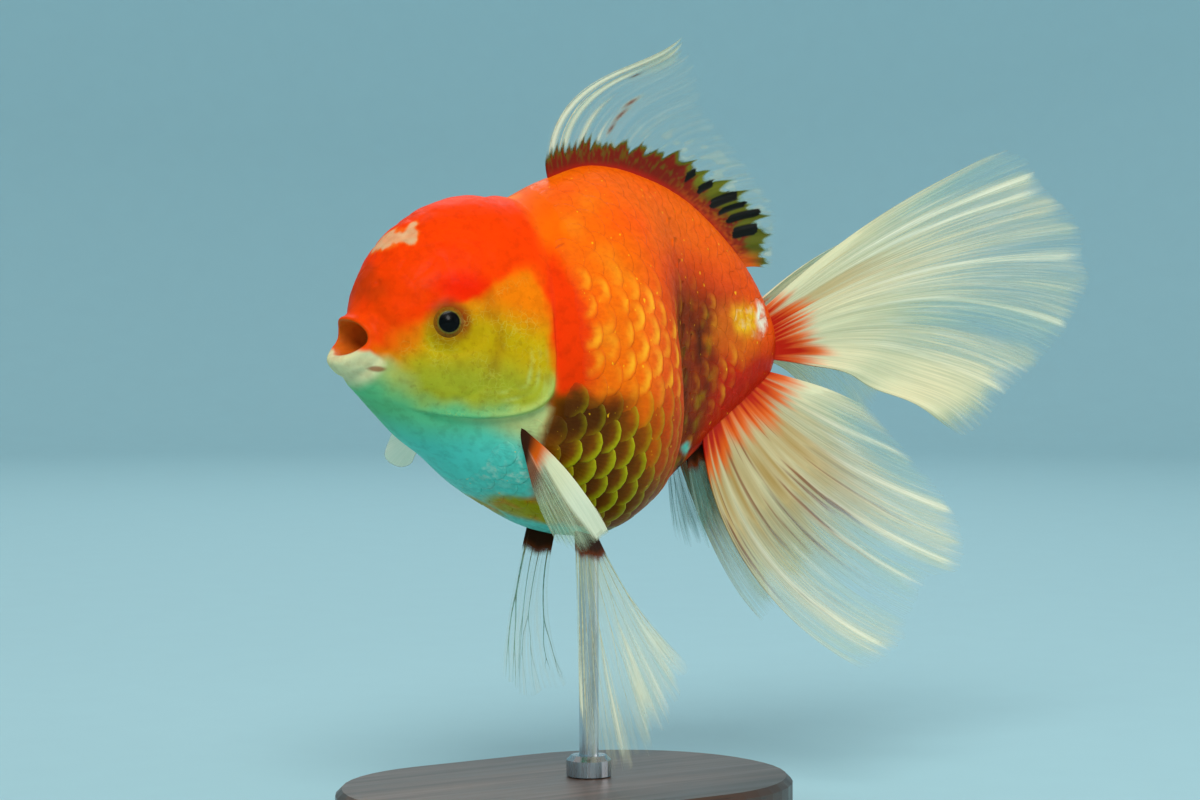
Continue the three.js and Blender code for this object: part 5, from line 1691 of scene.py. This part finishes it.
class GOLDFISH_OT_eyes(bpy.types.Operator):
    """Turns the two glossy eyeballs and sets them in their sockets"""

    bl_idname = "goldfish.eyes"
    bl_label = "Make Eyes"

    def execute(self, context):
        settings = context.scene.goldfish.eyes
        finish = eye_finish()
        pupil, ring = settings.pupil / MM, settings.ring / MM
        rows, around = 90, 96
        polar = math.pi * (np.arange(1, rows) / rows) ** 1.35
        turn = 2 * math.pi * np.arange(around) / around
        polar_all = np.repeat(polar, around)
        turn_all = np.tile(turn, rows - 1)
        off_axis = EYE_RADIUS * np.sin(polar_all)
        front = polar_all < math.pi / 2
        height = 0.1 * hump(off_axis - (pupil + ring) / 2, 0.3) * front
        height = height + 0.18 * smooth(off_axis, pupil * 0.9, 0) * front
        radius = EYE_RADIUS + height
        for side, node in ((LEFT, "eye_left"), (RIGHT, "eye_right")):
            middle = eye_middle(side)
            station = float(station_at(EYE_X))
            angles = np.linspace(0, math.pi, 400) * side
            near = rim(np.full(400, station), angles)
            nearest = np.argmin(np.linalg.norm(near - middle, axis=1))
            _, facing, _ = surface(np.array([station]), angles[nearest:nearest + 1])
            out = Vector(facing[0])
            basis = np.array(out.to_track_quat("Z", "Y").to_matrix())
            centre = place(middle[None])[0] - facing[0] * EYE_SINK
            local = np.stack([
                radius * np.sin(polar_all) * np.cos(turn_all),
                radius * np.sin(polar_all) * np.sin(turn_all),
                radius * np.cos(polar_all),
            ], -1)
            poles = np.array([(0, 0, EYE_RADIUS + 0.18), (0, 0, -EYE_RADIUS)])
            points = np.vstack([local, poles]) @ basis.T + centre
            faces, _ = grid(rows - 1, around)
            column = np.arange(around)
            following = (column + 1) % around
            top, bottom = len(local), len(local) + 1
            base = (rows - 2) * around
            faces = [*faces]
            faces += [(top, a, b) for a, b in zip(column, following)]
            faces += [(base + a, bottom, base + b) for a, b in zip(column, following)]
            made = new_object(f"eyeball_{'left' if side == LEFT else 'right'}", points, faces, finish)
            reach = np.append(off_axis, [0, 0])
            forward = np.append(front, [True, False])
            tint = np.tile(np.asarray(settings.brown), (len(points), 1))
            tint = paint(tint, settings.gold, smooth(reach, ring + 0.12, ring - 0.12) * forward)
            tint = paint(tint, settings.black, smooth(reach, pupil + 0.1, pupil - 0.1) * forward)
            store(made.data, TINT, "FLOAT_COLOR", opaque(tint))
            finish_piece(made, "eye", node)
        return {"FINISHED"}


def make_web(name, fin, settings, material, slot):
    """A fin's sheet as a closed thin shell that replaces the fin's solid."""
    columns, rows = fin["columns"], fin["rows"]
    across = np.linspace(0, 1, columns)
    share = np.linspace(0, 1, rows)[:, None]
    reach = reach_of(fin, across)
    out = (FIN_ROOT + (reach - FIN_ROOT) * share).ravel()
    wide = np.tile(across, rows)
    middle, facing = sheet(fin, wide, out)
    half = lerp(settings.fins.web_root, settings.fins.web_tip, np.sqrt(np.clip(out, 0, 1))) / MM
    offset = facing * half[:, None]
    front = (middle - offset).reshape(rows, columns, 3)
    rear = (middle + offset).reshape(rows, columns, 3)[:, ::-1]
    points = np.concatenate([front, rear], 1).reshape(-1, 3)
    turns = 2 * columns
    faces, _ = grid(rows, turns)
    near = np.arange(columns - 1)
    cap = np.stack([near, near + 1, turns - 2 - near, turns - 1 - near], 1)
    faces = np.vstack([faces, cap, cap[:, ::-1] + (rows - 1) * turns])
    made = new_object(name.replace("fin", "web"), points, faces.tolist(), material)
    look = fin_look(name, fin, wide, out, settings.tips).reshape(rows, columns, 4)
    look = np.concatenate([look, look[:, ::-1]], 1).reshape(-1, 4)
    store(made.data, TINT, "FLOAT_COLOR", look)
    centimetres = (out * through(fin["length"], wide) / 10).reshape(rows, columns)
    ray = (wide * fin["rays"]).reshape(rows, columns)
    ray = np.concatenate([ray, ray[:, ::-1]], 1).ravel()
    centimetres = np.concatenate([centimetres, centimetres[:, ::-1]], 1).ravel()
    flat = np.stack([ray + 31 * fin["seed"], centimetres], -1)
    store_map(made.data, RAY_MAP, flat[faces.ravel()])
    row, column = np.divmod(faces, turns)
    is_rear = column >= columns
    spread = np.where(is_rear, turns - 1 - column, column) / (columns - 1)
    u = 0.01 + 0.48 * spread + 0.5 * is_rear
    v = 0.02 + 0.96 * row / (rows - 1)
    side_face = is_rear.any(1) & ~is_rear.all(1)
    body = np.arange(len(faces)) < (rows - 1) * turns
    strip = side_face & body
    u[strip] = np.where(is_rear[strip], 0.4985, 0.4965)
    ends = ~body
    v[ends] = np.where(is_rear[ends], 0.002, 0.008) + 0.99 * (row[ends] > 0)
    u[ends] = 0.01 + 0.48 * spread[ends]
    store_map(made.data, BAKE_MAP, np.stack([u, v], -1).reshape(-1, 2))
    finish_piece(made, slot, name)


def make_rays(piece_name, names, settings, slot):
    """All rays of some fins as one mesh of tapering strands."""
    points, tints, girths, edges = [], [], [], []
    start = 0
    for name in names:
        fin = FINS[name]
        for ray, across, out, radius in strands(fin):
            spots, _ = sheet(fin, across, out)
            points.append(spots)
            tints.append(ray_look(name, fin, ray, out, settings.tips))
            girths.append(radius)
            count = len(spots)
            edges += [(start + i, start + i + 1) for i in range(count - 1)]
            start += count
    source = new_object(piece_name + "_lines", np.vstack(points), [], edges=edges)
    store(source.data, TINT, "FLOAT_COLOR", np.vstack(tints))
    store(source.data, "Girth", "FLOAT", np.concatenate(girths))
    made = ray_tree().applied(source, piece_name, {
        "Sides": settings.fins.ray_sides, "Thickness": settings.fins.ray_thickness,
        "Material": ray_finish(),
    })
    finish_piece(made, slot)


def fins_of(*kinds):
    return [name for name, fin in FINS.items() if fin["kind"] in kinds]


class GOLDFISH_OT_tail(bpy.types.Operator):
    """Spreads the four lobes of the tail"""

    bl_idname = "goldfish.tail"
    bl_label = "Make Tail"

    def execute(self, context):
        settings = context.scene.goldfish
        material = web_finish("Tail Web", settings.tips, 7.0, 1.15)
        for name in fins_of("tail"):
            make_web(name, FINS[name], settings, material, "fin")
        make_rays("tail_rays", fins_of("tail"), settings, "fin")
        return {"FINISHED"}


class GOLDFISH_OT_dorsal(bpy.types.Operator):
    """Raises the dorsal fin"""

    bl_idname = "goldfish.dorsal"
    bl_label = "Make Dorsal Fin"

    def execute(self, context):
        settings = context.scene.goldfish
        material = web_finish("Dorsal Web", settings.tips, 5.0, 0.5)
        for name in fins_of("dorsal"):
            make_web(name, FINS[name], settings, material, "dorsal_fin")
        make_rays("dorsal_rays", fins_of("dorsal"), settings, "dorsal_fin")
        return {"FINISHED"}


class GOLDFISH_OT_paired(bpy.types.Operator):
    """Hangs the side, belly and anal fins"""

    bl_idname = "goldfish.paired"
    bl_label = "Make Paired Fins"

    def execute(self, context):
        settings = context.scene.goldfish
        material = web_finish("Paired Web", settings.tips, 6.0, 0.9)
        names = fins_of("pectoral", "pelvic", "anal")
        for name in names:
            make_web(name, FINS[name], settings, material, "fin")
        make_rays("paired_rays", names, settings, "fin")
        return {"FINISHED"}


class GOLDFISH_OT_stand(bpy.types.Operator):
    """Finishes the stand's wooden base and steel rod"""

    bl_idname = "goldfish.stand"
    bl_label = "Finish Stand"

    def execute(self, context):
        settings = context.scene.goldfish.stand
        for node, material in (("stand_base", wood_finish(settings)), ("stand_rod", steel_finish(settings))):
            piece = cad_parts.get(node)
            if not piece:
                raise RuntimeError(f"the frame has no {node}")
            for slot in piece.material_slots:
                slot.material = material
        return {"FINISHED"}


class GOLDFISH_OT_stage(bpy.types.Operator):
    """Sets the pale floor, the soft lights and the camera"""

    bl_idname = "goldfish.stage"
    bl_label = "Set Stage"

    def execute(self, context):
        scene = context.scene
        settings = scene.goldfish.stage
        flat, cove, wall = 1500, 500, 1500
        bend = np.linspace(0, math.pi / 2, 16)
        radius = np.concatenate([[60, 400, 900], flat + cove * np.sin(bend), [flat + cove]])
        height = np.concatenate([[0, 0, 0], cove * (1 - np.cos(bend)), [wall]])
        around = 96
        turn = 2 * math.pi * np.arange(around) / around
        points = np.stack([
            np.outer(radius, np.cos(turn)), np.outer(radius, np.sin(turn)), np.outer(height, 1 + 0 * turn),
        ], -1).reshape(-1, 3)
        faces, _ = grid(len(radius), around)
        floor = new_object("floor", points, [*faces.tolist(), list(range(around))], floor_finish(settings))

        lights = (
            ("key_light", (-0.75, -1.05, 1.25), 0.8, settings.key, (1, 0.97, 0.92)),
            ("fill_light", (1.1, -1.0, 0.45), 1.2, settings.fill, (1, 0.98, 0.96)),
            ("rim_light", (0.6, 1.0, 1.1), 0.8, settings.rim, (1, 0.98, 0.95)),
        )
        target = Vector(settings.target)
        for name, spot_at, size, power, colour in lights:
            light = bpy.data.lights.new(name, "AREA")
            light.shape = "DISK"
            light.size = size
            light.energy = power
            light.color = colour
            made = bpy.data.objects.new(name, light)
            made.location = spot_at
            made.rotation_euler = (target - made.location).to_track_quat("-Z", "Y").to_euler()
            scene.collection.objects.link(made)

        world = bpy.data.worlds.new("room")
        world.use_nodes = True
        room = world.node_tree.nodes["Background"].inputs
        room["Color"].default_value = (1, 0.98, 0.95, 1)
        room["Strength"].default_value = settings.room
        scene.world = world

        camera = bpy.data.cameras.new("camera")
        camera.lens = settings.lens
        camera.sensor_width = 36
        camera.clip_start = 0.01
        viewer = bpy.data.objects.new("camera", camera)
        level = math.cos(settings.elevation)
        away = Vector((
            math.sin(settings.azimuth) * level,
            -math.cos(settings.azimuth) * level,
            math.sin(settings.elevation),
        ))
        viewer.location = target + settings.distance * away
        viewer.rotation_euler = away.to_track_quat("Z", "Y").to_euler()
        scene.collection.objects.link(viewer)
        scene.camera = viewer
        scene.view_settings.view_transform = "Standard"
        scene.cycles.transparent_max_bounces = 24
        return {"FINISHED"}


OPERATORS = (
    GOLDFISH_OT_stage, GOLDFISH_OT_skin, GOLDFISH_OT_scales, GOLDFISH_OT_eyes, GOLDFISH_OT_tail,
    GOLDFISH_OT_dorsal, GOLDFISH_OT_paired, GOLDFISH_OT_stand,
)


class GOLDFISH_PT_panel(bpy.types.Panel):
    """Lists the goldfish's pieces in the sidebar"""

    bl_label = "Fancy Goldfish"
    bl_idname = "GOLDFISH_PT_panel"
    bl_space_type = "VIEW_3D"
    bl_region_type = "UI"
    bl_category = "Goldfish"

    def draw(self, context):
        for operator in OPERATORS:
            self.layout.operator(operator.bl_idname)


CLASSES = (
    BodyColours, FinColours, SkinSettings, ScaleSettings, EyeSettings, FinSettings, StandSettings,
    StageSettings, Goldfish, *OPERATORS, GOLDFISH_PT_panel,
)


def register():
    for item in CLASSES:
        bpy.utils.register_class(item)
    bpy.types.Scene.goldfish = bpy.props.PointerProperty(type=Goldfish)


def unregister():
    del bpy.types.Scene.goldfish
    for item in reversed(CLASSES):
        bpy.utils.unregister_class(item)


def main():
    register()
    bpy.ops.goldfish.stage()
    bpy.ops.goldfish.skin()
    bpy.ops.goldfish.scales()
    bpy.ops.goldfish.eyes()
    bpy.ops.goldfish.tail()
    bpy.ops.goldfish.dorsal()
    bpy.ops.goldfish.paired()
    bpy.ops.goldfish.stand()


if __name__ == "__main__":
    main()
